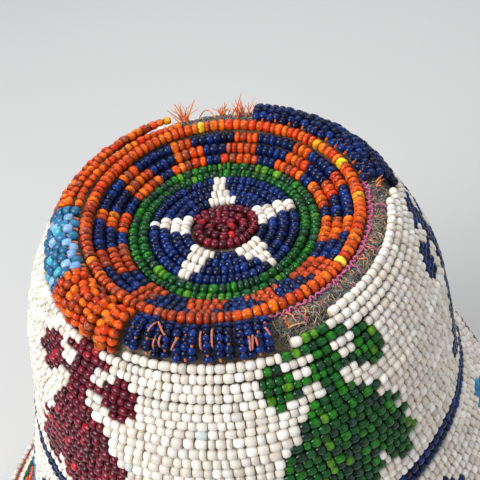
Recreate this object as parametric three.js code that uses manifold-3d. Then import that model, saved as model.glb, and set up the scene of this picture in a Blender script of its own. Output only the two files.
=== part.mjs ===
// A flat-topped, bell-shaped beaded cap. A wool cloth shell with a cotton lining carries strung
// glass beads, couched down row by row: a sunk rosette on the crown, a netted roll round its rim
// and bands of figures, lines and stepped motifs down the wall. Millimetres, +Z up, standing on
// its hem, with the origin at the centre of the hem's resting face.
import * as THREE from "three";
import { mergeVertices } from "three/addons/utils/BufferGeometryUtils.js";
import Module from "manifold-3d";

// ---------- Driving dimensions, mm ----------
const ROW_PITCH = 2.3; // from one strung row of beads to the next
const BEAD_HEIGHT = 2.1; // how far a row stands off the cloth
const CLEARANCE = 0.3; // between pieces that touch

const FLOOR_HEIGHT = 137.8; // the crown cloth's sunk floor above the hem
const FLOOR_ROWS = 9.1; // the rosette rows that lie on that floor
const CROWN_ROWS = 13; // all the rosette's rows
const CROWN_RISE = 4.9; // the outermost row's height above the floor
const ROLL_TOP = [3.4, 0.1]; // the rim roll's highest point, out from and above the last row
const SHOULDER = [9.2, -7.0]; // where the roll turns into the wall
const CHEST = [14.8, -19.5]; // the full upper wall
const WAIST = [20.6, -44.5]; // the slimmest flare, under the figures
const FLARE = [28.9, -79.5]; // where the bell starts to open
const HEM_RADIUS = 92; // the cloth's outer radius at the hem
const SKIRT = [21.5, 30.0]; // in from the hem radius and above the hem

const CLOTH_THICKNESS = 2.0; // the fulled wool shell
const LINING_THICKNESS = 0.8; // the cotton lining
const STIFFENER_THICKNESS = 1.2; // the rawhide disc that keeps the crown flat
const STIFFENER_ROWS = 8.6; // its radius, in rosette rows

const ROLL_ROWS = 4; // how many rows wide the netted rim roll is
const BINDING_WIDTH = 9.0; // how far the hem's tape reaches up the wall
const BINDING_THICKNESS = 0.9;
const THREAD_RADIUS = 0.45; // the pink couching thread on the bare cloth

const SEGMENTS = 32; // facets round the cap
const CHORD_ERROR = 0.15; // how far a straight stretch of profile may leave the form line
const LONGEST_CHORD = 24;
const CROWN_RIM_LIFT = 0.4; // the outermost rosette row rides up on the roll

// Wall bands from the rim down, each [node, rows, material]. The one with no row count takes
// what the others leave, so the design follows the wall's length. The first band's rows are
// squeezed together under the rim.
const TOP_SQUEEZE = 0.8;
const WALL_BANDS = [
  ["figure_rows_top", 7, "white"],
  ["figure_rows_middle", 7, "white"],
  ["figure_rows_bottom", 6, "white"],
  ["blue_line_1", 1, "blue"],
  ["blue_line_2", 1, "blue"],
  ["white_rows_upper", 3, "white"],
  ["diamond_rows_upper", null, "white"],
  ["diamond_rows_lower", 10, "white"],
  ["white_rows_lower", 2, "white"],
  ["blue_line_3", 1, "blue"],
  ["blue_line_4", 1, "blue"],
  ["wedge_rows", 4, "orange"],
  ["green_line_1", 1, "green"],
  ["green_line_2", 1, "green"],
  ["white_rows_hem", 3, "white"],
  ["orange_line_hem", 1, "orange"],
];

// Netted patches of the rim roll, each [node, first azimuth, last azimuth, material], in degrees
// counterclockwise from +X. Between them the beads have worn away and the cloth shows.
const ROLL_PATCHES = [
  ["roll_net_blue_back", 4, 71, "blue"],
  ["roll_net_orange_back", 101, 165, "orange"],
  ["roll_net_turquoise", 166, 199, "turquoise"],
  ["roll_net_orange_front", 200, 232, "orange"],
  ["roll_net_blue_front", 233, 281, "blue"],
];
const BARE_CLOTH = [283, 362]; // where the couching thread shows on the bare cloth

// The rosette outside its centre coil, each [node, material], one strung row to a node.
const COIL_ROWS = 3;
const ROSETTE_ROWS = [
  ["star_row_1", "blue"],
  ["star_row_2", "blue"],
  ["star_row_3", "blue"],
  ["star_row_4", "blue"],
  ["green_row_1", "green"],
  ["green_row_2", "green"],
  ["wedge_row_1", "orange"],
  ["wedge_row_2", "orange"],
  ["wedge_row_3", "orange"],
  ["orange_row", "orange"],
];

const MATERIALS = {
  white: new THREE.MeshStandardMaterial({ color: 0xece6da, roughness: 0.4, metalness: 0 }),
  blue: new THREE.MeshStandardMaterial({ color: 0x12235e, roughness: 0.25, metalness: 0 }),
  orange: new THREE.MeshStandardMaterial({ color: 0xd9501a, roughness: 0.25, metalness: 0 }),
  green: new THREE.MeshStandardMaterial({ color: 0x1f5c22, roughness: 0.25, metalness: 0 }),
  turquoise: new THREE.MeshStandardMaterial({ color: 0x1f7fa8, roughness: 0.3, metalness: 0 }),
  garnet: new THREE.MeshStandardMaterial({ color: 0x6a1526, roughness: 0.25, metalness: 0 }),
  wool: new THREE.MeshStandardMaterial({ color: 0x6b6250, roughness: 0.95, metalness: 0 }),
  lining: new THREE.MeshStandardMaterial({ color: 0xb8a888, roughness: 0.9, metalness: 0 }),
  rawhide: new THREE.MeshStandardMaterial({ color: 0xc7a878, roughness: 0.7, metalness: 0 }),
  tape: new THREE.MeshStandardMaterial({ color: 0x7d2130, roughness: 0.9, metalness: 0 }),
  thread: new THREE.MeshStandardMaterial({ color: 0xd96a9c, roughness: 0.9, metalness: 0 }),
};

const wasm = await Module();
wasm.setup();

// ---------- The form line: the cloth's outer face, from the crown's centre to the hem ----------
const crownRadius = CROWN_ROWS * ROW_PITCH;
const crownTop = FLOOR_HEIGHT + CROWN_RISE;
const fromCrown = ([out, up]) => new THREE.Vector2(crownRadius + out, crownTop + up);

/** The form line's points, close together: a flat floor, a slope and a spline over the roll. */
function formPoints() {
  const wall = new THREE.SplineCurve([
    new THREE.Vector2(crownRadius, crownTop),
    fromCrown(ROLL_TOP),
    fromCrown(SHOULDER),
    fromCrown(CHEST),
    fromCrown(WAIST),
    fromCrown(FLARE),
    new THREE.Vector2(HEM_RADIUS - SKIRT[0], SKIRT[1]),
    new THREE.Vector2(HEM_RADIUS, 0),
  ]);
  const floor = [
    new THREE.Vector2(0, FLOOR_HEIGHT),
    new THREE.Vector2(FLOOR_ROWS * ROW_PITCH, FLOOR_HEIGHT),
  ];
  return [...floor, ...wall.getPoints(240)];
}

/** The form line measured along its own length, with its place and outward normal at any distance. */
class FormLine {
  constructor(points) {
    this.points = points;
    this.along = [0];
    for (let i = 1; i < points.length; i++) {
      this.along.push(this.along[i - 1] + points[i].distanceTo(points[i - 1]));
    }
  }

  get length() {
    return this.along[this.along.length - 1];
  }

  /** The point at a distance, moved out from the cloth's face by offset. */
  at(distance, offset = 0) {
    const moved = this.place(distance).addScaledVector(this.normal(distance), offset);
    return new THREE.Vector2(Math.max(moved.x, 0), moved.y);
  }

  /** The outward normal, from the chord across a short stretch so that corners are shared out. */
  normal(distance) {
    const reach = 0.6;
    if (distance < reach) return new THREE.Vector2(0, 1);
    const chord = this.place(distance + reach).sub(this.place(distance - reach));
    return new THREE.Vector2(-chord.y, chord.x).normalize();
  }

  /** The point on the line itself; past the end it goes straight on. */
  place(distance) {
    const last = this.points.length - 1;
    if (distance > this.length) {
      const end = this.points[last].clone().sub(this.points[last - 1]).normalize();
      return this.points[last].clone().addScaledVector(end, distance - this.length);
    }
    const i = Math.max(this.along.findIndex((a) => a >= distance), 1);
    const share = (distance - this.along[i - 1]) / (this.along[i] - this.along[i - 1]);
    return this.points[i - 1].clone().lerp(this.points[i], share);
  }

  /** The distance between two others at which a test on the moved point turns true. */
  search(first, last, offset, isPast) {
    let [before, after] = [first, last];
    for (let i = 0; i < 30; i++) {
      const middle = (before + after) / 2;
      if (isPast(this.at(middle, offset))) after = middle;
      else before = middle;
    }
    return (before + after) / 2;
  }

  /** The distance near the hem at which the line, moved out by offset, comes down to a height. */
  distanceAtHeight(height, offset) {
    const [first, last] = [this.length - BINDING_WIDTH, this.length + BINDING_WIDTH];
    return this.search(first, last, offset, (point) => point.y < height);
  }

  /** The distance on the crown at which the line, moved out by offset, reaches a radius. */
  distanceAtRadius(radius, offset) {
    return this.search(0, 1.3 * CROWN_ROWS * ROW_PITCH, offset, (point) => point.x > radius);
  }
}

const form = new FormLine(formPoints());
const crownEdge = form.distanceAtRadius(crownRadius, 0); // where the rosette ends
const wallTop = crownEdge + ROLL_ROWS * ROW_PITCH; // where the wall's first row lies
const liningOffset = -(CLOTH_THICKNESS + CLEARANCE);
const bindingInset = LINING_THICKNESS - liningOffset + CLEARANCE; // inside the lining
const foldHeight = BINDING_THICKNESS + CLEARANCE; // what the tape's fold takes under the cloth
const clothEnd = form.distanceAtHeight(foldHeight, CLEARANCE - bindingInset);
const bindingTop = form.length - BINDING_WIDTH;

// ---------- Builders ----------
/** Distances from first to last, close enough that straight chords keep to the form line. */
function stations(first, last) {
  const middle = (first + last) / 2;
  const chordMiddle = form.place(first).lerp(form.place(last), 0.5);
  const strays = chordMiddle.distanceTo(form.place(middle)) > CHORD_ERROR;
  if (!strays && last - first < LONGEST_CHORD) return [first, last];
  return [...stations(first, middle), ...stations(middle, last).slice(1)];
}

/** A ring or disc turned round +Z. The points go down the inside and back up the outside. */
function turned(points) {
  const isDisc = points[0].x < 1e-6;
  const profile = isDisc ? points : [...points, points[0].clone()];
  return new THREE.LatheGeometry(profile, SEGMENTS).rotateX(Math.PI / 2);
}

/** A skin that follows the form line between two distances and two offsets from the cloth's face. */
function skin(first, last, inner, outer) {
  const path = stations(first, last);
  const inside = path.map((d) => form.at(d, inner));
  const outside = path.map((d) => form.at(d, outer)).reverse();
  return turned([...inside, ...outside]);
}

/** A ring with a hexagonal section round a point of the profile. */
function hexagonalRing(centre, radius) {
  const corners = Array.from({ length: 6 }, (_, i) => {
    const angle = (i * Math.PI) / 3;
    return new THREE.Vector2(Math.cos(angle), Math.sin(angle)).multiplyScalar(radius).add(centre);
  });
  return turned(corners);
}

/** One strung row of a radius, lying on the crown's cloth. */
function strungRow(radius, lift = 0) {
  const offset = CLEARANCE + BEAD_HEIGHT / 2 + lift;
  const centre = form.at(form.distanceAtRadius(radius, offset), offset);
  return hexagonalRing(centre, (ROW_PITCH - CLEARANCE) / 2);
}

/** A geometry as a manifold solid. */
function solid(geometry) {
  const bare = geometry.clone();
  bare.deleteAttribute("normal");
  bare.deleteAttribute("uv");
  const merged = mergeVertices(bare, 1e-4);
  const mesh = new wasm.Mesh({
    numProp: 3,
    vertProperties: merged.attributes.position.array,
    triVerts: new Uint32Array(merged.index.array),
  });
  return new wasm.Manifold(mesh);
}

/** A manifold solid as a geometry. */
function geometryOf(manifold) {
  const mesh = manifold.getMesh();
  const geometry = new THREE.BufferGeometry();
  geometry.setAttribute("position", new THREE.BufferAttribute(mesh.vertProperties, 3));
  geometry.setIndex(new THREE.BufferAttribute(mesh.triVerts, 1));
  geometry.computeVertexNormals();
  return geometry;
}

/** The part of a ring between two azimuths. */
function sector(ring, first, last) {
  const reach = 2 * HEM_RADIUS;
  const wedge = new THREE.Shape();
  wedge.moveTo(0, 0);
  const steps = Math.ceil((last - first) / 30);
  for (let i = 0; i <= steps; i++) {
    const angle = THREE.MathUtils.degToRad(first + ((last - first) * i) / steps);
    wedge.lineTo(reach * Math.cos(angle), reach * Math.sin(angle));
  }
  const tall = new THREE.ExtrudeGeometry(wedge, { depth: 2 * FLOOR_HEIGHT, bevelEnabled: false });
  return geometryOf(solid(ring).intersect(solid(tall)));
}

const cap = new THREE.Group();

function add(name, geometry, material) {
  const mesh = new THREE.Mesh(geometry, MATERIALS[material]);
  mesh.name = name;
  cap.add(mesh);
}

// ---------- Cloth, lining and stiffener ----------
function addShell() {
  const seam = crownEdge + 2 * ROW_PITCH; // crown and wall cloth meet under the netted roll
  add("crown_cloth", skin(0, seam - CLEARANCE / 2, -CLOTH_THICKNESS, 0), "wool");
  add("wall_cloth", skin(seam + CLEARANCE / 2, clothEnd, -CLOTH_THICKNESS, 0), "wool");

  const stiffenerTop = liningOffset;
  const stiffenerBottom = stiffenerTop - STIFFENER_THICKNESS;
  const disc = new THREE.CylinderGeometry(1, 1, STIFFENER_THICKNESS, SEGMENTS).rotateX(Math.PI / 2);
  disc.scale(STIFFENER_ROWS * ROW_PITCH, STIFFENER_ROWS * ROW_PITCH, 1);
  disc.translate(0, 0, FLOOR_HEIGHT + (stiffenerTop + stiffenerBottom) / 2);
  add("crown_stiffener", disc, "rawhide");

  // The crown lining hangs below the stiffener; the wall lining lies against the wall cloth.
  const liningSeam = seam + ROW_PITCH;
  const crownLiningTop = stiffenerBottom - CLEARANCE;
  const liningDisc = skin(
    0,
    crownEdge - ROW_PITCH,
    crownLiningTop - LINING_THICKNESS,
    crownLiningTop,
  );
  add("crown_lining", liningDisc, "lining");
  const wallLining = skin(
    liningSeam,
    clothEnd,
    liningOffset - LINING_THICKNESS,
    liningOffset,
  );
  add("wall_lining", wallLining, "lining");
}

/** The tape folded round the cloth's and the lining's lower edges, flat where the cap stands. */
function addBinding() {
  const leg = (offset, foot) => {
    const path = stations(bindingTop, form.distanceAtHeight(foot, offset));
    return path.map((d) => form.at(d, offset));
  };
  const profile = [
    ...leg(-(bindingInset + BINDING_THICKNESS), 0),
    ...leg(CLEARANCE + BINDING_THICKNESS, 0).reverse(),
    ...leg(CLEARANCE, BINDING_THICKNESS),
    ...leg(-bindingInset, BINDING_THICKNESS).reverse(),
  ];
  add("hem_binding", turned(profile), "tape");
}

// ---------- Beadwork ----------
function addRosette() {
  const coilEdge = COIL_ROWS * ROW_PITCH - CLEARANCE;
  add("centre_coil", skin(0, coilEdge, CLEARANCE, CLEARANCE + BEAD_HEIGHT), "garnet");
  ROSETTE_ROWS.forEach(([name, material], i) => {
    const radius = (COIL_ROWS + i + 0.5) * ROW_PITCH;
    const last = i === ROSETTE_ROWS.length - 1;
    add(name, strungRow(radius, last ? CROWN_RIM_LIFT : 0), material);
  });
}

function addRoll() {
  const first = form.distanceAtRadius(crownRadius + CLEARANCE, CLEARANCE + BEAD_HEIGHT);
  const last = wallTop - CLEARANCE;
  const ring = skin(first, last, CLEARANCE, CLEARANCE + BEAD_HEIGHT);
  for (const [name, from, to, material] of ROLL_PATCHES) {
    add(name, sector(ring, from, to), material);
  }
}

/** The pink thread that couches the last rosette row, seen where the roll's beads are gone. */
function addCouchingThread() {
  const seat = form.at(crownEdge + ROW_PITCH, CLEARANCE + THREAD_RADIUS);
  const ring = hexagonalRing(seat, THREAD_RADIUS);
  add("couching_thread", sector(ring, ...BARE_CLOTH), "thread");
}

function addWall() {
  const wallEnd = bindingTop - CLEARANCE;
  const squeezed = WALL_BANDS[0][1] * (1 - TOP_SQUEEZE);
  const rows = Math.floor((wallEnd - wallTop) / ROW_PITCH + squeezed);
  const pitch = (wallEnd - wallTop) / (rows - squeezed);
  const counted = WALL_BANDS.reduce((sum, [, count]) => sum + (count ?? 0), 0);
  let distance = wallTop;
  WALL_BANDS.forEach(([name, count, material], i) => {
    const height = (count ?? rows - counted) * pitch * (i === 0 ? TOP_SQUEEZE : 1);
    const first = distance + CLEARANCE / 2;
    const last = distance + height - CLEARANCE / 2;
    add(name, skin(first, last, CLEARANCE, CLEARANCE + BEAD_HEIGHT), material);
    distance += height;
  });
}

/** The beads whipped along the hem, on the tape's outer face. */
function addHemEdging() {
  const radius = (ROW_PITCH - CLEARANCE) / 2;
  const offset = CLEARANCE + BINDING_THICKNESS + CLEARANCE + radius;
  const centre = form.at(form.length - BINDING_WIDTH / 2, offset);
  add("hem_edging", hexagonalRing(centre, radius), "white");
}

addShell();
addBinding();
addRosette();
addRoll();
addCouchingThread();
addWall();
addHemEdging();

export default cap;
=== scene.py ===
"""A bell-shaped beaded cap with a sunk star rosette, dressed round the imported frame.

The cloth, the lining and the strung glass beads all follow one form line, turned round +Z and
pushed out of true a little, the way a hand-sewn cap sits. Lengths are in metres.
"""

import logging
import math
from collections.abc import Callable
from dataclasses import dataclass, field
from enum import Enum

import bmesh
import bpy
import numpy as np
from mathutils import Matrix, Vector

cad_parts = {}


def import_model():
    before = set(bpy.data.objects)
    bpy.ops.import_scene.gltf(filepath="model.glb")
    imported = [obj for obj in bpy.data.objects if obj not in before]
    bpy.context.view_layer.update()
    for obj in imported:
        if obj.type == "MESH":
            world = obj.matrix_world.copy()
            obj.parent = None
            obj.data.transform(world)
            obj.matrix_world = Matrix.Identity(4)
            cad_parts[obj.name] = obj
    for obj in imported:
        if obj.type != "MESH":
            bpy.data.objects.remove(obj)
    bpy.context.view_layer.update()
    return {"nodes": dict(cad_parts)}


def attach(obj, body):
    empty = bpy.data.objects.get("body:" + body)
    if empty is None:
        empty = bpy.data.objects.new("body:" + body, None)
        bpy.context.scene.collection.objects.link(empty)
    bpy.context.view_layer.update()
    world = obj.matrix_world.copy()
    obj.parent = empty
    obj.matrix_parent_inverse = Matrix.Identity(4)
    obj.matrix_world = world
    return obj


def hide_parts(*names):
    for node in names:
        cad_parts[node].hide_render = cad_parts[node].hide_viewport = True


log = logging.getLogger("beaded_cap")
MM = 0.001
Array = np.ndarray
Colour = tuple[float, float, float]
# Names each bead's colour, from the azimuths of a row's beads and the turn between two of them.
Picker = Callable[[Array, float], list[str]]


# ---------------------------------------------------------------- small helpers


def smooth_step(value: Array, low: float, high: float) -> Array:
    """A value's share of the way from low to high, eased at both ends."""
    share = np.clip((value - low) / (high - low), 0, 1)
    return share * share * (3 - 2 * share)


def turn_between(azimuth: Array, centre: float) -> Array:
    """The signed turn in degrees from a centre to an azimuth, between -180 and 180."""
    return (np.asarray(azimuth) - centre + 180) % 360 - 180


def unit(vectors: Array) -> Array:
    """Rows of vectors brought to length one."""
    return vectors / np.maximum(np.linalg.norm(vectors, axis=-1, keepdims=True), 1e-12)


class NodeBench:
    """Adds and joins nodes in one tree."""

    def __init__(self, tree: bpy.types.NodeTree) -> None:
        """Takes the tree that it works on."""
        self.tree = tree

    def add(self, kind: str, settings: dict | None = None, **inputs: object) -> bpy.types.Node:
        """Adds a node.

        Args:
            kind: The node's type name.
            settings: Properties of the node itself.
            **inputs: Sockets by name, underscores for spaces; a socket to link, or a value.

        Returns:
            The new node.
        """
        node = self.tree.nodes.new(kind)
        for key, value in (settings or {}).items():
            setattr(node, key, value)
        for key, value in inputs.items():
            self.feed(self.socket(node, key), value)
        return node

    def socket(self, node: bpy.types.Node, key: str) -> bpy.types.NodeSocket:
        """Finds the enabled input that a key names.

        Args:
            node: The node.
            key: The input's name with underscores, or i and its number.

        Returns:
            The input.
        """
        if key[0] == "i" and key[1:].isdigit():
            return node.inputs[int(key[1:])]
        name = key.replace("_", " ").lower()
        return next(s for s in node.inputs if s.enabled and s.name.lower() == name)

    def feed(self, socket: bpy.types.NodeSocket, value: object) -> None:
        """Links an output to an input, or sets the input's own value.

        Args:
            socket: The input.
            value: An output to link, or a plain value.
        """
        if isinstance(value, bpy.types.NodeSocket):
            self.tree.links.new(value, socket)
        else:
            socket.default_value = value

    def maths(self, operation: str, *values: object) -> bpy.types.NodeSocket:
        """A Math node's result."""
        inputs = {f"i{i}": value for i, value in enumerate(values)}
        return self.add("ShaderNodeMath", {"operation": operation}, **inputs).outputs[0]

    def mix(
        self, share: object, first: object, second: object, blend: str = "MIX"
    ) -> bpy.types.NodeSocket:
        """Mixes two colours.

        Args:
            share: How much of the second is mixed in.
            first: The first colour, or an output.
            second: The second colour, or an output.
            blend: The way of mixing.

        Returns:
            The mixed colour's output.
        """
        node = self.add("ShaderNodeMix", {"data_type": "RGBA", "blend_type": blend})
        for index, value in ((0, share), (6, first), (7, second)):
            self.feed(node.inputs[index], (*value, 1.0) if isinstance(value, tuple) else value)
        return node.outputs[2]

    def ramp(self, value: bpy.types.NodeSocket, stops: list[tuple[float, Colour]]) -> bpy.types.NodeSocket:
        """A colour ramp over a value, from (place, colour) stops.

        Args:
            value: The output that runs along the ramp.
            stops: Each stop's place and colour.

        Returns:
            The ramp's colour output.
        """
        node = self.add("ShaderNodeValToRGB", Fac=value)
        elements = node.color_ramp.elements
        while len(elements) < len(stops):
            elements.new(0.5)
        for element, (place, colour) in zip(elements, stops):
            element.position = place
            element.color = (*colour, 1.0)
        return node.outputs[0]


def start_finish(name: str) -> tuple[bpy.types.Material, NodeBench, bpy.types.Node]:
    """Starts a material.

    Args:
        name: The finish's name.

    Returns:
        The material, a bench for its nodes, and its shader.
    """
    material = bpy.data.materials.new(name)
    material.use_nodes = True
    return material, NodeBench(material.node_tree), material.node_tree.nodes["Principled BSDF"]


def put_in_scene(name: str, data: bpy.types.ID) -> bpy.types.Object:
    """Puts a mesh, a lamp or a camera into the scene.

    Args:
        name: The object's name.
        data: What it shows.

    Returns:
        The object, at the origin.
    """
    thing = bpy.data.objects.new(name, data)
    bpy.context.scene.collection.objects.link(thing)
    return thing


# ---------------------------------------------------------------- the form


@dataclass(frozen=True)
class FormSizes:
    """The sizes that set the cap's form.

    The wall's points are steps out and up from the crown's edge, in millimetres. The skirt is the
    last one: how far inside the hem and how high it lies. The swell, dips, wave, rise and ripple
    that put the cap out of true are in millimetres too.
    """

    row_pitch: float = 2.3 * MM
    bead_height: float = 2.1 * MM
    clearance: float = 0.3 * MM
    floor_height: float = 137.8 * MM
    floor_rows: float = 9.1
    crown_rows: int = 13
    crown_rise: float = 4.9 * MM
    roll_rows: int = 4
    hem_radius: float = 92.0 * MM
    cloth: float = 2.0 * MM
    lining: float = 0.8 * MM
    stiffener: float = 1.2 * MM
    binding_width: float = 9.0 * MM
    binding: float = 0.9 * MM
    wall_points: tuple[tuple[float, float], ...] = (
        (3.4, 0.1),
        (9.2, -7.0),
        (14.8, -19.5),
        (20.6, -44.5),
        (28.9, -79.5),
    )
    skirt: tuple[float, float] = (21.5, 30.0)
    right_swell: float = 6.0
    right_dip: float = 1.6
    left_dip: float = 1.3
    wall_wave: float = 0.4
    row_rise: float = 3.2
    crown_ripple: float = 0.25
    waist: float = 40 * MM
    waist_spread: float = 22 * MM


class Form:
    """The cloth's outer face: a profile measured along its length, turned round +Z."""

    halvings = 30
    hem_reach = 12 * MM

    def __init__(self, sizes: FormSizes) -> None:
        """Samples the profile and notes its landmarks.

        Args:
            sizes: The cap's sizes.
        """
        self.sizes = sizes
        self.crown_radius = sizes.crown_rows * sizes.row_pitch
        points = self.profile()
        steps = np.linalg.norm(np.diff(points, axis=0), axis=1)
        self.along = np.concatenate([[0], np.cumsum(steps)])
        self.points = points
        self.length = float(self.along[-1])
        fine = np.linspace(0, self.length, 1600)
        reach = 0.6 * MM
        chord = self.line(fine + reach) - self.line(fine - reach)
        normals = unit(np.stack([-chord[:, 1], chord[:, 0]], 1))
        normals[fine < reach] = (0, 1)
        self.fine, self.normals = fine, normals
        self.crown_edge = self.at_radius(self.crown_radius, 0.0)
        self.wall_top = self.crown_edge + sizes.roll_rows * sizes.row_pitch
        self.binding_top = self.length - sizes.binding_width

    def profile(self) -> Array:
        """The profile's points: a flat floor, a slope and a spline over the roll and down.

        Returns:
            One (radius, height) a row, from the crown's centre to the hem.
        """
        s = self.sizes
        top = s.floor_height + s.crown_rise
        knots = [(self.crown_radius, top)]
        knots += [(self.crown_radius + x * MM, top + z * MM) for x, z in s.wall_points]
        knots += [(s.hem_radius - s.skirt[0] * MM, s.skirt[1] * MM), (s.hem_radius, 0.0)]
        knots = np.array([knots[0], *knots, knots[-1]])
        pieces = [np.array([(0, s.floor_height), (s.floor_rows * s.row_pitch, s.floor_height)])]
        share = np.linspace(0, 1, 40)[:, None]
        for a, b, c, d in zip(knots, knots[1:], knots[2:], knots[3:]):
            ease, tight = (c - a) / 2, (d - b) / 2
            curve = (2 * b - 2 * c + ease + tight) * share**3
            curve += (3 * c - 3 * b - 2 * ease - tight) * share**2 + ease * share + b
            pieces.append(curve[:-1])
        return np.concatenate([*pieces, knots[-1:]])

    def line(self, distance: Array) -> Array:
        """The radius and height at distances along the profile, going straight on past the hem.

        Args:
            distance: Along the profile from the crown's centre.

        Returns:
            Radius and height in the last axis.
        """
        distance = np.asarray(distance, float)
        over = np.maximum(distance - self.length, 0)[..., None]
        end = unit(self.points[-1] - self.points[-2])
        place = [np.interp(distance, self.along, self.points[:, i]) for i in (0, 1)]
        return np.stack(place, -1) + over * end

    def normal(self, distance: Array) -> Array:
        """(radial, upward) parts of the outward normal at distances along the profile."""
        parts = [np.interp(distance, self.fine, self.normals[:, i]) for i in (0, 1)]
        return unit(np.stack(parts, -1))

    def at_radius(self, radius: float, offset: float) -> float:
        """The crown distance at which the face, moved out by offset, reaches a radius.

        Args:
            radius: The radius to reach.
            offset: How far the face is moved out.

        Returns:
            The distance along the profile.
        """
        low, high = 0.0, 1.3 * self.crown_radius
        for _ in range(self.halvings):
            middle = (low + high) / 2
            moved = self.line(middle)[0] + self.normal(middle)[0] * offset
            low, high = (low, middle) if moved > radius else (middle, high)
        return (low + high) / 2

    def at_height(self, height: float, offset: float) -> float:
        """The distance near the hem at which the face, moved out by offset, is at a height.

        Args:
            height: The height to reach.
            offset: How far the face is moved out.

        Returns:
            The distance along the profile.
        """
        low, high = self.length - self.hem_reach, self.length + self.hem_reach
        for _ in range(self.halvings):
            middle = (low + high) / 2
            moved = self.line(middle)[1] + self.normal(middle)[1] * offset
            low, high = (low, middle) if moved < height else (middle, high)
        return (low + high) / 2

    def side(self, azimuth: Array, centre: float, spread: float) -> Array:
        """How far azimuths belong to one side of the cap: one at its centre, fading out."""
        return np.exp(-((turn_between(azimuth, centre) / spread) ** 2))

    def swell(self, azimuth: Array, distance: Array) -> Array:
        """How far hand work pushes the wall out of true.

        Args:
            azimuth: Degrees counterclockwise from +X.
            distance: Along the profile from the crown's centre.

        Returns:
            Radial steps in metres.
        """
        s, top = self.sizes, self.wall_top
        wall = smooth_step(distance, top, top + s.waist)
        low = smooth_step(distance, top + s.waist, top + 72 * MM)
        waist = np.exp(-(((distance - top - s.waist) / s.waist_spread) ** 2))
        right, left = self.side(azimuth, 352, 48), self.side(azimuth, 186, 42)
        wave = np.sin(np.radians(3 * azimuth + 40) + distance * 30)
        right_side = (s.right_swell * low - s.right_dip * waist) * MM * right
        return right_side - s.left_dip * MM * left * waist + s.wall_wave * MM * wave * wall

    def drift(self, azimuth: Array, distance: Array) -> Array:
        """How far the wall's rows ride up where the rim's net is gone.

        Args:
            azimuth: Degrees counterclockwise from +X.
            distance: Along the profile from the crown's centre.

        Returns:
            Steps along the profile, in metres.
        """
        upper = smooth_step(distance, self.wall_top, self.wall_top + 25 * MM)
        lower = smooth_step(distance, self.wall_top + 60 * MM, self.wall_top + 110 * MM)
        return -self.sizes.row_rise * MM * self.side(azimuth, 320, 42) * upper * (1 - lower)

    def place(self, azimuth: Array, distance: Array, offset: Array) -> Array:
        """Points on the cap.

        Args:
            azimuth: Degrees counterclockwise from +X.
            distance: Along the profile from the crown's centre.
            offset: Out from the cloth's face.

        Returns:
            An array of points with three columns.
        """
        azimuth, distance, offset = np.broadcast_arrays(azimuth, distance, offset)
        base, normal = self.line(distance), self.normal(distance)
        radius = np.maximum(base[..., 0] + normal[..., 0] * offset, 0)
        radius = radius + self.swell(azimuth, distance)
        angle = np.radians(azimuth)
        ripple = self.sizes.crown_ripple * MM * np.sin(2 * angle + 0.8 + radius * 90)
        ripple = ripple * smooth_step(radius, 0.0, 20 * MM)
        ripple = ripple * (1 - smooth_step(distance, self.crown_edge, self.wall_top + 10 * MM))
        height = base[..., 1] + normal[..., 1] * offset + ripple
        return np.stack([radius * np.cos(angle), radius * np.sin(angle), height], -1)

    def outward(self, azimuth: Array, distance: Array) -> Array:
        """Outward directions at places on the cap.

        Args:
            azimuth: Degrees counterclockwise from +X.
            distance: Along the profile from the crown's centre.

        Returns:
            An array of directions with three columns.
        """
        azimuth, distance = np.broadcast_arrays(azimuth, distance)
        normal, angle = self.normal(distance), np.radians(azimuth)
        return np.stack(
            [normal[..., 0] * np.cos(angle), normal[..., 0] * np.sin(angle), normal[..., 1]], -1
        )


# ---------------------------------------------------------------- finishes


class Glass(Enum):
    """The kinds of glass, in the order of their material slots."""

    OPAQUE = 0
    CLEAR = 1
    LAPIS = 2


SHADE_SPREAD = 0.10


@dataclass(frozen=True)
class BeadColour:
    """A bead colour as it comes off the string: shades with their shares."""

    glass: Glass
    shades: tuple[tuple[float, Colour], ...]

    def draw(self, rng: np.random.Generator, count: int) -> Array:
        """Shades for a number of beads, each a touch lighter or darker.

        Args:
            rng: The string's own random numbers.
            count: How many beads.

        Returns:
            One colour a row.
        """
        shares = np.array([share for share, _ in self.shades])
        table = np.array([colour for _, colour in self.shades])
        picked = table[rng.choice(len(table), count, p=shares / shares.sum())]
        return np.clip(picked * rng.normal(1, SHADE_SPREAD, (count, 1)), 0, 1)


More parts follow.
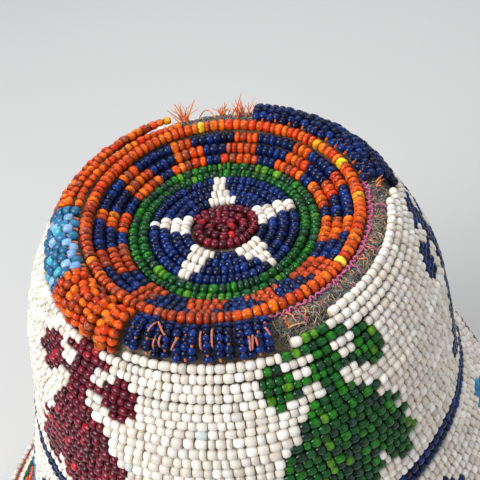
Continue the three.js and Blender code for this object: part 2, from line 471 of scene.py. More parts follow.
BEAD_COLOURS: dict[str, BeadColour] = {
    "white": BeadColour(
        Glass.OPAQUE,
        (
            (6, (0.81, 0.765, 0.69)),
            (3, (0.86, 0.84, 0.80)),
            (1.2, (0.72, 0.66, 0.57)),
            (0.02, (0.60, 0.68, 0.70)),
        ),
    ),
    "blue": BeadColour(
        Glass.LAPIS,
        (
            (5, (0.002, 0.010, 0.062)),
            (3, (0.003, 0.020, 0.125)),
            (2, (0.001, 0.005, 0.028)),
        ),
    ),
    "orange": BeadColour(
        Glass.CLEAR,
        (
            (4, (0.58, 0.066, 0.002)),
            (3, (0.65, 0.115, 0.003)),
            (1.6, (0.50, 0.034, 0.002)),
            (0.15, (0.74, 0.33, 0.008)),
        ),
    ),
    "dull_orange": BeadColour(
        Glass.CLEAR,
        (
            (4, (0.33, 0.036, 0.008)),
            (3, (0.43, 0.052, 0.005)),
            (2, (0.27, 0.050, 0.020)),
            (0.3, (0.60, 0.15, 0.008)),
        ),
    ),
    "green": BeadColour(
        Glass.CLEAR,
        (
            (5, (0.004, 0.068, 0.010)),
            (2.5, (0.010, 0.125, 0.006)),
            (0.9, (0.06, 0.19, 0.008)),
            (2.5, (0.006, 0.034, 0.016)),
        ),
    ),
    "garnet": BeadColour(
        Glass.CLEAR,
        (
            (6, (0.120, 0.006, 0.016)),
            (4, (0.065, 0.005, 0.012)),
            (1.1, (0.23, 0.008, 0.018)),
            (0.12, (0.50, 0.012, 0.02)),
        ),
    ),
    "turquoise": BeadColour(
        Glass.OPAQUE,
        (
            (7, (0.010, 0.115, 0.250)),
            (2, (0.02, 0.18, 0.36)),
            (0.8, (0.06, 0.42, 0.58)),
            (1.0, (0.26, 0.47, 0.78)),
        ),
    ),
    "pale_blue": BeadColour(Glass.OPAQUE, ((3, (0.22, 0.42, 0.75)), (1, (0.14, 0.33, 0.62)))),
    "sky": BeadColour(Glass.OPAQUE, ((3, (0.01, 0.33, 0.60)), (1, (0.02, 0.22, 0.50)))),
    "yellow": BeadColour(Glass.CLEAR, ((3, (0.72, 0.44, 0.012)), (1, (0.80, 0.55, 0.05)))),
}


@dataclass(frozen=True)
class BeadFinish:
    """The surface of one kind of glass."""

    name: str
    roughness: float
    coat: float
    # Painted light: how much a glass bead's middle is painted lighter, as a glow of light through the glass.
    core_light: float
    # Painted shade with some dirt: the colour and share that darken a bead's ends, where beads meet.
    end_colour: Colour
    end_share: float
    wear: float
    cloud: float
    gloss: float
    # How much brighter the painted glow of light in a bead's middle is than its own shade.
    core_gain: float = 1.9
    scuff_level: float = 0.66
    worn_colour: Colour = (0.50, 0.52, 0.55)
    coat_roughness: float = 0.08

    def material(self) -> bpy.types.Material:
        """Mixes each bead's own shade with a painted glow of light in its middle, ends darkened by painted
        shade and some dirt, and scuffs.

        Returns:
            The material.
        """
        material, bench, shader = start_finish(self.name)
        tint = bench.add("ShaderNodeAttribute", {"attribute_name": "tint"}).outputs["Color"]
        place = bench.add("ShaderNodeAttribute", {"attribute_name": "bead_place"}).outputs["Vector"]
        lengthwise = bench.add("ShaderNodeSeparateXYZ", i0=place).outputs[0]
        end = bench.maths("MULTIPLY", bench.maths("ABSOLUTE", lengthwise), 2.0)
        coords = bench.add("ShaderNodeTexCoord").outputs["Object"]
        mottle = bench.add("ShaderNodeTexNoise", Vector=coords, Scale=900.0, Detail=3.0).outputs[0]
        scuffs = bench.add("ShaderNodeTexNoise", Vector=coords, Scale=2600.0, Detail=2.0).outputs[0]
        # Painted light: the bead's middle is painted lighter, a glow of light through the glass.
        painted_glow_share = bench.maths("MULTIPLY", bench.maths("SUBTRACT", 1.0, end), self.core_light)
        bright = (self.core_gain, self.core_gain, self.core_gain)
        shade = bench.mix(painted_glow_share, tint, bench.mix(1.0, tint, bright, "MULTIPLY"))
        # Painted shade with some dirt: the bead's ends are darkened where it meets the next bead.
        end_dirt_and_shade = bench.maths("MULTIPLY", bench.maths("POWER", end, 4.0), self.end_share)
        shade = bench.mix(end_dirt_and_shade, shade, bench.mix(1.0, tint, self.end_colour, "MULTIPLY"))
        low, high = 1 - self.cloud, 1 + self.cloud
        light = bench.ramp(mottle, [(0.36, (low, low, low)), (0.64, (high, high, high))])
        shade = bench.mix(1.0, shade, light, "MULTIPLY")
        scuffed = bench.maths("GREATER_THAN", scuffs, self.scuff_level)
        worn = bench.maths("MULTIPLY", scuffed, self.wear)
        shade = bench.mix(worn, shade, self.worn_colour)
        bench.feed(shader.inputs["Base Color"], shade)
        least, most = self.roughness * 0.7, self.roughness * 1.4
        rough = bench.add("ShaderNodeMapRange", Value=mottle, i3=least, i4=most)
        bench.feed(shader.inputs["Roughness"], rough.outputs[0])
        shader.inputs["Coat Weight"].default_value = self.coat
        shader.inputs["Coat Roughness"].default_value = self.coat_roughness
        shader.inputs["Specular IOR Level"].default_value = self.gloss
        bump = bench.add("ShaderNodeBump", Height=mottle, Strength=0.12, Distance=0.0001)
        bench.feed(shader.inputs["Normal"], bump.outputs[0])
        return material


# Each finish paints a glow of light in its beads' middles, and painted shade with some dirt at their ends.
BEAD_FINISHES = (
    BeadFinish(
        "bead_opaque_glass",
        roughness=0.34,
        coat=0.25,
        core_light=0.0,
        end_colour=(0.70, 0.54, 0.38),
        end_share=0.65,
        wear=0.0,
        cloud=0.07,
        gloss=0.36,
    ),
    BeadFinish(
        "bead_clear_glass",
        roughness=0.14,
        coat=0.15,
        core_light=0.45,
        end_colour=(0.36, 0.32, 0.30),
        end_share=0.75,
        wear=0.03,
        cloud=0.42,
        gloss=0.22,
    ),
    BeadFinish(
        "bead_lapis_glass",
        roughness=0.16,
        coat=0.15,
        core_light=0.30,
        end_colour=(0.42, 0.46, 0.60),
        end_share=0.65,
        wear=0.05,
        cloud=0.40,
        gloss=0.18,
    ),
)


@dataclass(frozen=True)
class ClothFinish:
    """Cloth coloured by blotches and crossed by threads."""

    name: str
    shades: tuple[Colour, ...]
    blotch: float
    thread_pitch: float
    weave: float
    roughness: float = 0.92
    sheen: float = 0.25
    fibres_a_blotch: int = 7
    relief: float = 0.6 * MM

    def material(self) -> bpy.types.Material:
        """Lays blotches on Object coordinates and a weave on the cloth's own map.

        Returns:
            The material.
        """
        material, bench, shader = start_finish(self.name)
        coords = bench.add("ShaderNodeTexCoord").outputs["Object"]
        patches = bench.add(
            "ShaderNodeTexNoise", Vector=coords, Scale=self.blotch, Detail=6.0, Roughness=0.7
        ).outputs[0]
        fibre = bench.add(
            "ShaderNodeTexNoise",
            Vector=coords,
            Scale=self.blotch * self.fibres_a_blotch,
            Detail=4.0,
            Distortion=2.5,
        ).outputs[0]
        count = len(self.shades) - 1
        stops = [(0.28 + 0.44 * i / count, c) for i, c in enumerate(self.shades)]
        shade = bench.ramp(patches, stops)
        grey = bench.ramp(fibre, [(0.3, (0.62, 0.62, 0.62)), (0.68, (1.25, 1.25, 1.25))])
        shade = bench.mix(1.0, shade, grey, "MULTIPLY")
        cloth_map = bench.add("ShaderNodeUVMap", {"uv_map": "cloth"}).outputs[0]
        height = fibre
        for turned in (0.0, math.pi / 2):
            lay = bench.add("ShaderNodeMapping", Vector=cloth_map, Rotation=(0.0, 0.0, turned))
            thread = bench.add(
                "ShaderNodeTexWave",
                Vector=lay.outputs[0],
                Scale=0.16 / self.thread_pitch,
                Distortion=1.5,
            ).outputs[1]
            dip = bench.maths("MULTIPLY", thread, self.weave)
            height = bench.maths("ADD", height, dip)
        shader.inputs["Roughness"].default_value = self.roughness
        shader.inputs["Sheen Weight"].default_value = self.sheen
        bench.feed(shader.inputs["Base Color"], shade)
        bump = bench.add("ShaderNodeBump", Height=height, Strength=0.7, Distance=self.relief)
        bench.feed(shader.inputs["Normal"], bump.outputs[0])
        return material


@dataclass(frozen=True)
class ThreadFinish:
    """Twisted thread, each length with its own tint."""

    name: str
    roughness: float = 0.8
    sheen: float = 0.3
    plies_a_metre: float = 3800.0

    def material(self) -> bpy.types.Material:
        """Gives the thread's own tint the light and dark of its plies.

        Returns:
            The material.
        """
        material, bench, shader = start_finish(self.name)
        tint = bench.add("ShaderNodeAttribute", {"attribute_name": "tint"}).outputs["Color"]
        coords = bench.add("ShaderNodeTexCoord").outputs["Object"]
        plies = bench.add(
            "ShaderNodeTexNoise", Vector=coords, Scale=self.plies_a_metre, Detail=2.0
        ).outputs[0]
        light = bench.ramp(plies, [(0.35, (0.6, 0.6, 0.6)), (0.65, (1.25, 1.25, 1.25))])
        bench.feed(shader.inputs["Base Color"], bench.mix(1.0, tint, light, "MULTIPLY"))
        shader.inputs["Roughness"].default_value = self.roughness
        shader.inputs["Sheen Weight"].default_value = self.sheen
        bump = bench.add("ShaderNodeBump", Height=plies, Strength=0.5, Distance=0.0001)
        bench.feed(shader.inputs["Normal"], bump.outputs[0])
        return material


WOOL = ClothFinish(
    "wool_cloth",
    shades=((0.050, 0.036, 0.024), (0.19, 0.135, 0.080), (0.33, 0.25, 0.16), (0.13, 0.115, 0.095)),
    blotch=520,
    thread_pitch=0.9 * MM,
    weave=0.25,
)
COTTON = ClothFinish(
    "cotton_lining",
    shades=((0.36, 0.30, 0.20), (0.46, 0.40, 0.29), (0.52, 0.46, 0.35)),
    blotch=60,
    thread_pitch=0.55 * MM,
    weave=0.9,
)
TAPE = ClothFinish(
    "binding_tape",
    shades=((0.10, 0.012, 0.02), (0.16, 0.018, 0.03), (0.20, 0.03, 0.04)),
    blotch=90,
    thread_pitch=0.7 * MM,
    weave=1.0,
)
RAWHIDE = ClothFinish(
    "rawhide",
    shades=((0.42, 0.29, 0.15), (0.55, 0.40, 0.23), (0.60, 0.47, 0.30)),
    blotch=70,
    thread_pitch=5 * MM,
    weave=0.1,
    roughness=0.6,
    sheen=0.0,
)
THREAD = ThreadFinish("sewing_thread")


class FinishShelf:
    """Every material, made once."""

    def __init__(self) -> None:
        """Makes the materials."""
        self.beads = [finish.material() for finish in BEAD_FINISHES]
        self.cloth = {f.name: f.material() for f in (WOOL, COTTON, TAPE, RAWHIDE)}
        self.thread = THREAD.material()


# ---------------------------------------------------------------- geometry nodes


class GrowTree:
    """A Geometry Nodes tree with named inputs, run once over a piece's raw points or lines."""

    def __init__(self, name: str, inputs: dict[str, tuple[str, object]]) -> None:
        """Makes the tree's interface.

        Args:
            name: The tree's name.
            inputs: Each input's socket type and value, by name.
        """
        self.tree = bpy.data.node_groups.new(name, "GeometryNodeTree")
        face = self.tree.interface
        face.new_socket("Geometry", in_out="INPUT", socket_type="NodeSocketGeometry")
        for key, (kind, _) in inputs.items():
            face.new_socket(key, in_out="INPUT", socket_type=kind)
        face.new_socket("Geometry", in_out="OUTPUT", socket_type="NodeSocketGeometry")
        self.values = {key: value for key, (_, value) in inputs.items()}
        self.bench = NodeBench(self.tree)
        self.given = self.bench.add("NodeGroupInput").outputs
        self.result = self.bench.add("NodeGroupOutput")

    def named(self, name: str, kind: str) -> bpy.types.NodeSocket:
        """A named attribute of the raw points."""
        node = self.bench.add("GeometryNodeInputNamedAttribute", {"data_type": kind}, Name=name)
        return next(s for s in node.outputs if s.enabled)

    def grow(self, name: str, raw: bpy.types.Mesh) -> bpy.types.Object:
        """Runs the tree over a raw mesh.

        Args:
            name: The finished piece's name.
            raw: The points or lines to grow it from.

        Returns:
            A plain mesh object at the origin, with no modifier.
        """
        source = put_in_scene(name + "_raw", raw)
        modifier = source.modifiers.new("grow", "NODES")
        modifier.node_group = self.tree
        for item in self.tree.interface.items_tree:
            if item.in_out == "INPUT" and item.name in self.values:
                modifier[item.identifier] = self.values[item.name]
        source.update_tag()
        depsgraph = bpy.context.evaluated_depsgraph_get()
        grown = bpy.data.meshes.new_from_object(source.evaluated_get(depsgraph))
        grown.name = name
        drop_empty_slots(grown)
        bpy.data.objects.remove(source)
        bpy.data.meshes.remove(raw)
        return put_in_scene(name, grown)


def drop_empty_slots(mesh: bpy.types.Mesh) -> None:
    """Takes away the slots with no material and renumbers the faces.

    Args:
        mesh: The grown mesh.
    """
    used = np.zeros(len(mesh.polygons), np.int32)
    mesh.polygons.foreach_get("material_index", used)
    kept = [i for i, material in enumerate(mesh.materials) if material is not None]
    renumber = np.zeros(max(len(mesh.materials), 1), np.int32)
    renumber[kept] = np.arange(len(kept))
    for i in reversed([i for i in range(len(mesh.materials)) if i not in kept]):
        mesh.materials.pop(index=i)
    mesh.polygons.foreach_set("material_index", renumber[used])


class BeadTree(GrowTree):
    """Sets one turned glass bead on every point."""

    def __init__(self, sides: int, glass: list[bpy.types.Material]) -> None:
        """Builds the tree.

        Args:
            sides: Facets round a bead.
            glass: The glass materials in the order of their slots.
        """
        super().__init__(
            f"beads_of_{sides}",
            {
                "Sides": ("NodeSocketInt", sides),
                "End Width": ("NodeSocketFloat", 0.72),
                "Squareness": ("NodeSocketFloat", 4.0),
                "Width Spread": ("NodeSocketFloat", 0.07),
                "Tilt Spread": ("NodeSocketFloat", 0.09),
                "Seed": ("NodeSocketInt", 7),
            },
        )
        self.sides = sides
        bench, given = self.bench, self.given
        points = bench.add(
            "GeometryNodeInstanceOnPoints",
            Points=given["Geometry"],
            Instance=self.bead(),
            Rotation=self.turned(),
            Scale=self.scaled(),
        )
        mesh = bench.add("GeometryNodeRealizeInstances", i0=points.outputs[0]).outputs[0]
        kind = self.named("glass", "INT")
        for index, material in enumerate(glass):
            same = bench.add(
                "FunctionNodeCompare", {"data_type": "INT", "operation": "EQUAL"}, A=kind, B=index
            )
            mesh = bench.add(
                "GeometryNodeSetMaterial", Geometry=mesh, Selection=same.outputs[0], Material=material
            ).outputs[0]
        bench.feed(self.result.inputs[0], mesh)

    def bead(self) -> bpy.types.NodeSocket:
        """One bead along X, a unit long and a unit in radius at its belly.

        Returns:
            The bead's geometry, with the place on the bead as an attribute.
        """
        bench, given = self.bench, self.given
        line = bench.add("GeometryNodeCurvePrimitiveLine", Start=(-0.5, 0, 0), End=(0.5, 0, 0))
        line = bench.add("GeometryNodeResampleCurve", Curve=line.outputs[0], Count=5)
        position = bench.add("GeometryNodeInputPosition").outputs[0]
        across = bench.add("ShaderNodeSeparateXYZ", i0=position).outputs[0]
        end = bench.maths("MULTIPLY", bench.maths("ABSOLUTE", across), 2.0)
        drop = bench.maths("POWER", end, given["Squareness"])
        slim = bench.maths("SUBTRACT", 1.0, given["End Width"])
        radius = bench.maths("SUBTRACT", 1.0, bench.maths("MULTIPLY", drop, slim))
        ring = bench.add("GeometryNodeCurvePrimitiveCircle", Resolution=given["Sides"], Radius=1.0)
        body = bench.add(
            "GeometryNodeCurveToMesh",
            Curve=line.outputs[0],
            Profile_Curve=ring.outputs[0],
            Scale=radius,
            Fill_Caps=True,
        ).outputs[0]
        body = bench.add(
            "GeometryNodeStoreNamedAttribute",
            {"data_type": "FLOAT_VECTOR", "domain": "POINT"},
            Geometry=body,
            Name="bead_place",
            Value=position,
        ).outputs[0]
        return bench.add("GeometryNodeSetShadeSmooth", i0=body).outputs[0]

    def turned(self) -> bpy.types.NodeSocket:
        """Each bead's turn: along its string, with a little slack.

        Returns:
            The rotation's output.
        """
        bench, given = self.bench, self.given
        lay = bench.add(
            "FunctionNodeAxesToRotation",
            {"primary_axis": "X", "secondary_axis": "Z"},
            Primary_Axis=self.named("along", "FLOAT_VECTOR"),
            Secondary_Axis=self.named("outward", "FLOAT_VECTOR"),
        ).outputs[0]
        least = bench.maths("MULTIPLY", given["Tilt Spread"], -1.0)
        slack = bench.add(
            "FunctionNodeRandomValue",
            {"data_type": "FLOAT_VECTOR"},
            Min=least,
            Max=given["Tilt Spread"],
            Seed=given["Seed"],
        )
        turn = next(s for s in slack.outputs if s.enabled)
        turn = bench.add("FunctionNodeEulerToRotation", i0=turn).outputs[0]
        return bench.add(
            "FunctionNodeRotateRotation",
            {"rotation_space": "LOCAL"},
            Rotation=lay,
            Rotate_By=turn,
        ).outputs[0]

    def scaled(self) -> bpy.types.NodeSocket:
        """Each bead's size, with some beads fatter than others.

        Returns:
            The scale's output.
        """
        bench, given = self.bench, self.given
        spread = bench.add(
            "FunctionNodeRandomValue",
            {"data_type": "FLOAT"},
            Min=bench.maths("SUBTRACT", 1.0, given["Width Spread"]),
            Max=bench.maths("ADD", 1.0, given["Width Spread"]),
            Seed=bench.maths("ADD", given["Seed"], 1.0),
        )
        width = next(s for s in spread.outputs if s.enabled)
        factor = bench.add("ShaderNodeCombineXYZ", X=1.0, Y=width, Z=width).outputs[0]
        return bench.add(
            "ShaderNodeVectorMath",
            {"operation": "MULTIPLY"},
            i0=self.named("size", "FLOAT_VECTOR"),
            i1=factor,
        ).outputs[0]


class ThreadTree(GrowTree):
    """Gives every line of a raw mesh the thickness of a thread."""

    def __init__(self, sides: int, thread: bpy.types.Material) -> None:
        """Builds the tree.

        Args:
            sides: Facets round a thread.
            thread: The thread's material.
        """
        super().__init__(
            f"threads_of_{sides}",
            {"Sides": ("NodeSocketInt", sides), "Thickness": ("NodeSocketFloat", 1.0)},
        )
        bench, given = self.bench, self.given
        thick = bench.maths("MULTIPLY", self.named("thick", "FLOAT"), given["Thickness"])
        lines = bench.add("GeometryNodeMeshToCurve", Mesh=given["Geometry"]).outputs[0]
        ring = bench.add("GeometryNodeCurvePrimitiveCircle", Resolution=given["Sides"], Radius=1.0)
        body = bench.add(
            "GeometryNodeCurveToMesh",
            Curve=lines,
            Profile_Curve=ring.outputs[0],
            Scale=thick,
            Fill_Caps=True,
        ).outputs[0]
        body = bench.add("GeometryNodeSetShadeSmooth", i0=body).outputs[0]
        body = bench.add("GeometryNodeRealizeInstances", i0=body).outputs[0]
        body = bench.add("GeometryNodeSetMaterial", Geometry=body, Material=thread).outputs[0]
        bench.feed(self.result.inputs[0], body)


def raw_mesh(
    name: str, points: Array, edges: Array, attributes: dict[str, tuple[str, Array]]
) -> bpy.types.Mesh:
    """A mesh of bare points or lines.

    Args:
        name: The mesh's name.
        points: One row a point.
        edges: Pairs of point numbers, or an empty array.
        attributes: Each point attribute's type and values, by name.

    Returns:
        The mesh.
    """
    mesh = bpy.data.meshes.new(name)
    mesh.vertices.add(len(points))
    mesh.vertices.foreach_set("co", np.ascontiguousarray(points, np.float32).ravel())
    if len(edges):
        mesh.edges.add(len(edges))
        mesh.edges.foreach_set("vertices", np.ascontiguousarray(edges, np.int32).ravel())
    fields = {"FLOAT_VECTOR": "vector", "FLOAT_COLOR": "color", "INT": "value", "FLOAT": "value"}
    for key, (kind, values) in attributes.items():
        data = mesh.attributes.new(key, kind, "POINT").data
        dtype = np.int32 if kind == "INT" else np.float32
        data.foreach_set(fields[kind], np.ascontiguousarray(values, dtype).ravel())
    mesh.update()
    return mesh


# ---------------------------------------------------------------- strings of beads


class Strings:
    """Beads gathered string by string, until they are grown into a piece."""

    def __init__(self, form: Form, seed: int) -> None:
        """Starts empty.

        Args:
            form: The form that the strings lie on.
            seed: What its random numbers start from.
        """
        self.form = form
        self.rng = np.random.default_rng(seed)
        self.parts: dict[str, list[Array]] = {
            key: [] for key in ("place", "along", "outward", "size", "tint", "glass")
        }

    def thread_on(
        self, starts: Array, ends: Array, outward: Array, width: float, colours: list[str]
    ) -> None:
        """Puts beads between pairs of points.

        Args:
            starts: Where each bead begins on its string.
            ends: Where each bead ends.
            outward: Each bead's outward direction.
            width: A bead's diameter.
            colours: Each bead's colour name.
        """
        rng, count = self.rng, len(starts)
        span = ends - starts
        length = np.linalg.norm(span, axis=1) * rng.uniform(0.90, 0.985, count)
        radius = np.broadcast_to(np.asarray(width) / 2, count) * rng.normal(1, 0.025, count)
        names = np.array(colours)
        tint, glass = np.zeros((count, 3)), np.zeros(count, int)
        for name in np.unique(names):
            mine = names == name
            tint[mine] = BEAD_COLOURS[name].draw(rng, int(mine.sum()))
            glass[mine] = BEAD_COLOURS[name].glass.value
        values = {
            "place": (starts + ends) / 2,
            "along": unit(span),
            "outward": outward,
            "size": np.stack([length, radius, radius], 1),
            "tint": np.concatenate([tint, np.ones((count, 1))], 1),
            "glass": glass,
        }
        for key, value in values.items():
            self.parts[key].append(value)

    def ring(self, lay: "RingLay") -> None:
        """Strings one row round the form, whole or in part.

        Args:
            lay: How the row lies.
        """
        rng, form = self.rng, self.form
        middle = (lay.first + lay.last) / 2
        radius = np.linalg.norm(form.place(middle, lay.distance, lay.offset)[:2])
        arc = math.radians(lay.last - lay.first) * radius
        count = max(2, round(arc / lay.bead_length))
        shares = np.clip(rng.normal(1, lay.length_spread, count), 0.62, 1.5)
        steps = np.concatenate([[0], np.cumsum(shares)]) / shares.sum()
        marks = lay.first + steps * (lay.last - lay.first)
        phase = rng.uniform(0, 6.28, 3)
        angle = np.radians(marks)
        waver = lay.waver * (np.sin(2 * angle + phase[0]) + 0.6 * np.sin(5 * angle + phase[1]))
        waver = waver + lay.waver * 0.35 * np.sin(11 * angle + phase[2])
        waver = waver + form.drift(marks, lay.distance)
        knots = form.place(marks, lay.distance + waver, lay.offset)
        centres = (marks[1:] + marks[:-1]) / 2
        bumps = rng.normal(0, lay.waver * 0.45, count)[:, None]
        out = form.outward(centres, lay.distance)
        starts, ends = knots[:-1] + out * bumps, knots[1:] + out * bumps
        turn = (lay.last - lay.first) / count
        self.thread_on(starts, ends, out, lay.width, lay.pick(centres, turn))


@dataclass(frozen=True)
class RingLay:
    """How one row lies: where, how wide, and what decides its colours."""

    distance: float
    offset: float
    width: float
    bead_length: float
    pick: Picker
    first: float = 0.0
    last: float = 360.0
    waver: float = 0.10 * MM
    length_spread: float = 0.14


def all_one(colour: str) -> Picker:
    """A picker that gives a whole row one colour."""

    def pick(azimuth: Array, turn: float) -> list[str]:
        """The colour, once for each bead."""
        return [colour] * len(azimuth)

    return pick


class PieceMaker:
    """Grows pieces, maps them, and hands them to the frame."""

    def __init__(self, form: Form, shelf: FinishShelf) -> None:
        """Builds the trees that pieces are grown with.

        Args:
            form: The form that pieces lie on.
            shelf: The materials.
        """
        self.form, self.shelf = form, shelf
        self.bead_tree = BeadTree(10, shelf.beads)
        self.coarse_bead_tree = BeadTree(7, shelf.beads)
        self.thread_tree = ThreadTree(5, shelf.thread)
        self.fibre_tree = ThreadTree(3, shelf.thread)

    def beads(self, name: str, strings: Strings, coarse: bool = False) -> bpy.types.Object:
        """Grows strings into a piece of glass beads.

        Args:
            name: The piece's name.
            strings: The beads.
            coarse: Whether the beads may have fewer facets.

        Returns:
            The piece.
        """
        parts = {key: np.concatenate(value) for key, value in strings.parts.items()}
        kinds = {
            "along": "FLOAT_VECTOR",
            "outward": "FLOAT_VECTOR",
            "size": "FLOAT_VECTOR",
            "tint": "FLOAT_COLOR",
            "glass": "INT",
        }
        fields = {key: (kind, parts[key]) for key, kind in kinds.items()}
        raw = raw_mesh(name + "_points", parts["place"], np.zeros((0, 2)), fields)
        tree = self.coarse_bead_tree if coarse else self.bead_tree
        piece = tree.grow(name, raw)
        self.map_beads(piece.data, len(parts["place"]), tree.sides)
        return piece

    def map_beads(self, mesh: bpy.types.Mesh, count: int, sides: int) -> None:
        """Gives every bead its own tile: its wall as a strip and its two ends as discs.

        Args:
            mesh: The beads.
            count: How many there are.
            sides: Facets round a bead.
        """
        place = np.zeros(len(mesh.vertices) * 3, np.float32)
        mesh.attributes["bead_place"].data.foreach_get("vector", place)
        corner = np.zeros(len(mesh.loops), np.int32)
        mesh.loops.foreach_get("vertex_index", corner)
        sizes = np.zeros(len(mesh.polygons), np.int32)
        mesh.polygons.foreach_get("loop_total", sizes)
        local = place.reshape(-1, 3)[corner]
        starts = np.concatenate([[0], np.cumsum(sizes)[:-1]])
        turn = np.arctan2(local[:, 2], local[:, 1]) / (2 * math.pi)
        crosses = np.maximum.reduceat(turn, starts) - np.minimum.reduceat(turn, starts) > 0.5
        spread = np.maximum.reduceat(local[:, 0], starts) - np.minimum.reduceat(local[:, 0], starts)
        crosses, is_end = np.repeat(crosses, sizes), np.repeat(spread < 0.01, sizes)
        turn = np.where(crosses & (turn < 0), turn + 1, turn)
        u = (turn + 0.5) / (1 + 1 / sides)
        v = (local[:, 0] + 0.5) * 0.68
        u = np.where(is_end, 0.25 + 0.5 * (local[:, 0] > 0) + 0.2 * local[:, 1], u)
        v = np.where(is_end, 0.87 + 0.2 * local[:, 2], v)
        across = math.ceil(math.sqrt(count))
        tile = corner // (len(mesh.vertices) // count)
        u = (tile % across + 0.05 + 0.9 * u) / across
        v = (tile // across + 0.05 + 0.9 * v) / across
        layer = mesh.uv_layers.new(name="OFBake")
        layer.data.foreach_set("uv", np.stack([u, v], 1).astype(np.float32).ravel())

    def threads(self, name: str, lines: list["ThreadLine"], fine: bool = False) -> bpy.types.Object:
        """Grows lines into a piece of thread.

        Args:
            name: The piece's name.
            lines: The threads.
            fine: Whether they are hair-thin fibres, which need fewer facets.

        Returns:
            The piece.
        """
        points, edges, thick, tint, first = [], [], [], [], 0
        for line in lines:
            count = len(line.points)
            points.append(line.points)
            steps = np.arange(first, first + count - 1)
            edges.append(np.stack([steps, steps + 1], 1))
            thick.append(np.broadcast_to(line.radius, count))
            tint.append(np.tile((*line.tint, 1.0), (count, 1)))
            first += count
        fields = {
            "thick": ("FLOAT", np.concatenate(thick)),
            "tint": ("FLOAT_COLOR", np.concatenate(tint)),
        }
        raw = raw_mesh(name + "_lines", np.concatenate(points), np.concatenate(edges), fields)
        return (self.fibre_tree if fine else self.thread_tree).grow(name, raw)

    def hand_over(self, piece: bpy.types.Object, nodes: list[str], slot: str) -> bpy.types.Object:
        """Lets a piece ride on the frame's one body, in place of some of its nodes.

        Args:
            piece: The piece.
            nodes: The frame's nodes that it stands for, if any.
            slot: What it is made of; not used.

        Returns:
            The piece.
        """
        if nodes:
            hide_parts(*nodes)
        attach(piece, "root")
        log.info("%s: %d faces, for %s", piece.name, len(piece.data.polygons), nodes or "no node")
        return piece


@dataclass(frozen=True)
class ThreadLine:
    """One length of thread or fibre."""

    points: Array
    radius: float | Array
    tint: Colour


# ---------------------------------------------------------------- cloth


@dataclass
class ClothSkin:
    """A layer of cloth that follows the form, closed all round its thickness."""

    name: str
    first: float
    last: float
    inner: float
    outer: float
    around: int = 180
    step: float = 1.6 * MM
    lumps: float = 0.0
    ridges: int = 0
    seam_spread: float = 0.8
    seam_depth: float = 0.5

    def build(self, form: Form, material: bpy.types.Material) -> bpy.types.Object:
        """Builds the layer.

        Args:
            form: The form that it follows.
            material: The cloth.

        Returns:
            The piece, with a cloth map in metres and a bake map.
        """
        path = np.linspace(self.first, self.last, max(3, round((self.last - self.first) / self.step)))
        is_disc = self.first <= 0
        azimuth = np.linspace(0, 360, self.around, endpoint=False)
        distance = np.concatenate([path, path[::-1]])
        offset = np.concatenate([np.full(len(path), self.inner), np.full(len(path), self.outer)])
        grid_azimuth, grid_distance = np.meshgrid(azimuth, distance, indexing="ij")
        grid_offset = np.broadcast_to(offset, grid_distance.shape) + self.relief(grid_azimuth, grid_distance)
        points = form.place(grid_azimuth, grid_distance, grid_offset)
        rows, columns = len(distance), self.around
        faces, maps, bakes = [], [], []
        girth = 2 * math.pi * form.line(path)[:, 0].mean()
        for j in range(rows if not is_disc else rows - 1):
            k = (j + 1) % rows
            for i in range(columns):
                n = (i + 1) % columns
                faces.append((i * rows + j, n * rows + j, n * rows + k, i * rows + k))
                at, past = i / columns, (i + 1) / columns
                low, high = distance[j], distance[k]
                maps += [(at * girth, low), (past * girth, low), (past * girth, high), (at * girth, high)]
                bakes += [(at, j / rows), (past, j / rows), (past, (j + 1) / rows), (at, (j + 1) / rows)]
        mesh = cloth_mesh(self.name, points, faces, {"cloth": maps, "OFBake": bakes}, material)
        if is_disc:
            close_pole(mesh)
        return put_in_scene(self.name, mesh)

    def relief(self, azimuth: Array, distance: Array) -> Array:
        """Lumps in the felt and the puckers of its seams.

        Args:
            azimuth: Degrees counterclockwise from +X.
            distance: Along the profile from the crown's centre.

        Returns:
            Steps outwards, in metres.
        """
        angle = np.radians(azimuth)
        lumps = np.sin(angle * 31 + distance * 1900) * np.sin(angle * 47 - distance * 1300 + 1)
        lumps = lumps + 0.7 * np.sin(angle * 83 + distance * 3100 + 2) * np.sin(distance * 2600)
        seams = np.zeros_like(lumps)
        if self.ridges:
            across = np.abs((azimuth * self.ridges / 360) % 1 - 0.5) * 360 / self.ridges
            seams = np.exp(-((across / self.seam_spread) ** 2))
        return lumps * self.lumps - seams * self.seam_depth * MM


def cloth_mesh(
    name: str, points: Array, faces: list, maps: dict[str, object], material: bpy.types.Material
) -> bpy.types.Mesh:
    """Makes a smooth mesh of cloth.

    Args:
        name: The mesh's name.
        points: Its points, with three columns last.
        faces: The point numbers of each face.
        maps: Each map's places, corner by corner, by name.
        material: The cloth.

    Returns:
        The mesh.
    """
    mesh = bpy.data.meshes.new(name)
    mesh.from_pydata(points.reshape(-1, 3).tolist(), [], faces)
    for key, values in maps.items():
        layer = mesh.uv_layers.new(name=key)
        layer.data.foreach_set("uv", np.array(values, np.float32).ravel())
    mesh.polygons.foreach_set("use_smooth", np.ones(len(faces), bool))
    mesh.materials.append(material)
    return mesh


def close_pole(mesh: bpy.types.Mesh) -> None:
    """Merges a disc's doubled points at its two poles.

    Args:
        mesh: The disc.
    """
    body = bmesh.new()
    body.from_mesh(mesh)
    centre = [v for v in body.verts if math.hypot(v.co.x, v.co.y) < 1e-6]
    bmesh.ops.remove_doubles(body, verts=centre, dist=1e-6)
    bmesh.ops.dissolve_degenerate(body, dist=1e-7, edges=body.edges)
    body.to_mesh(mesh)
    body.free()


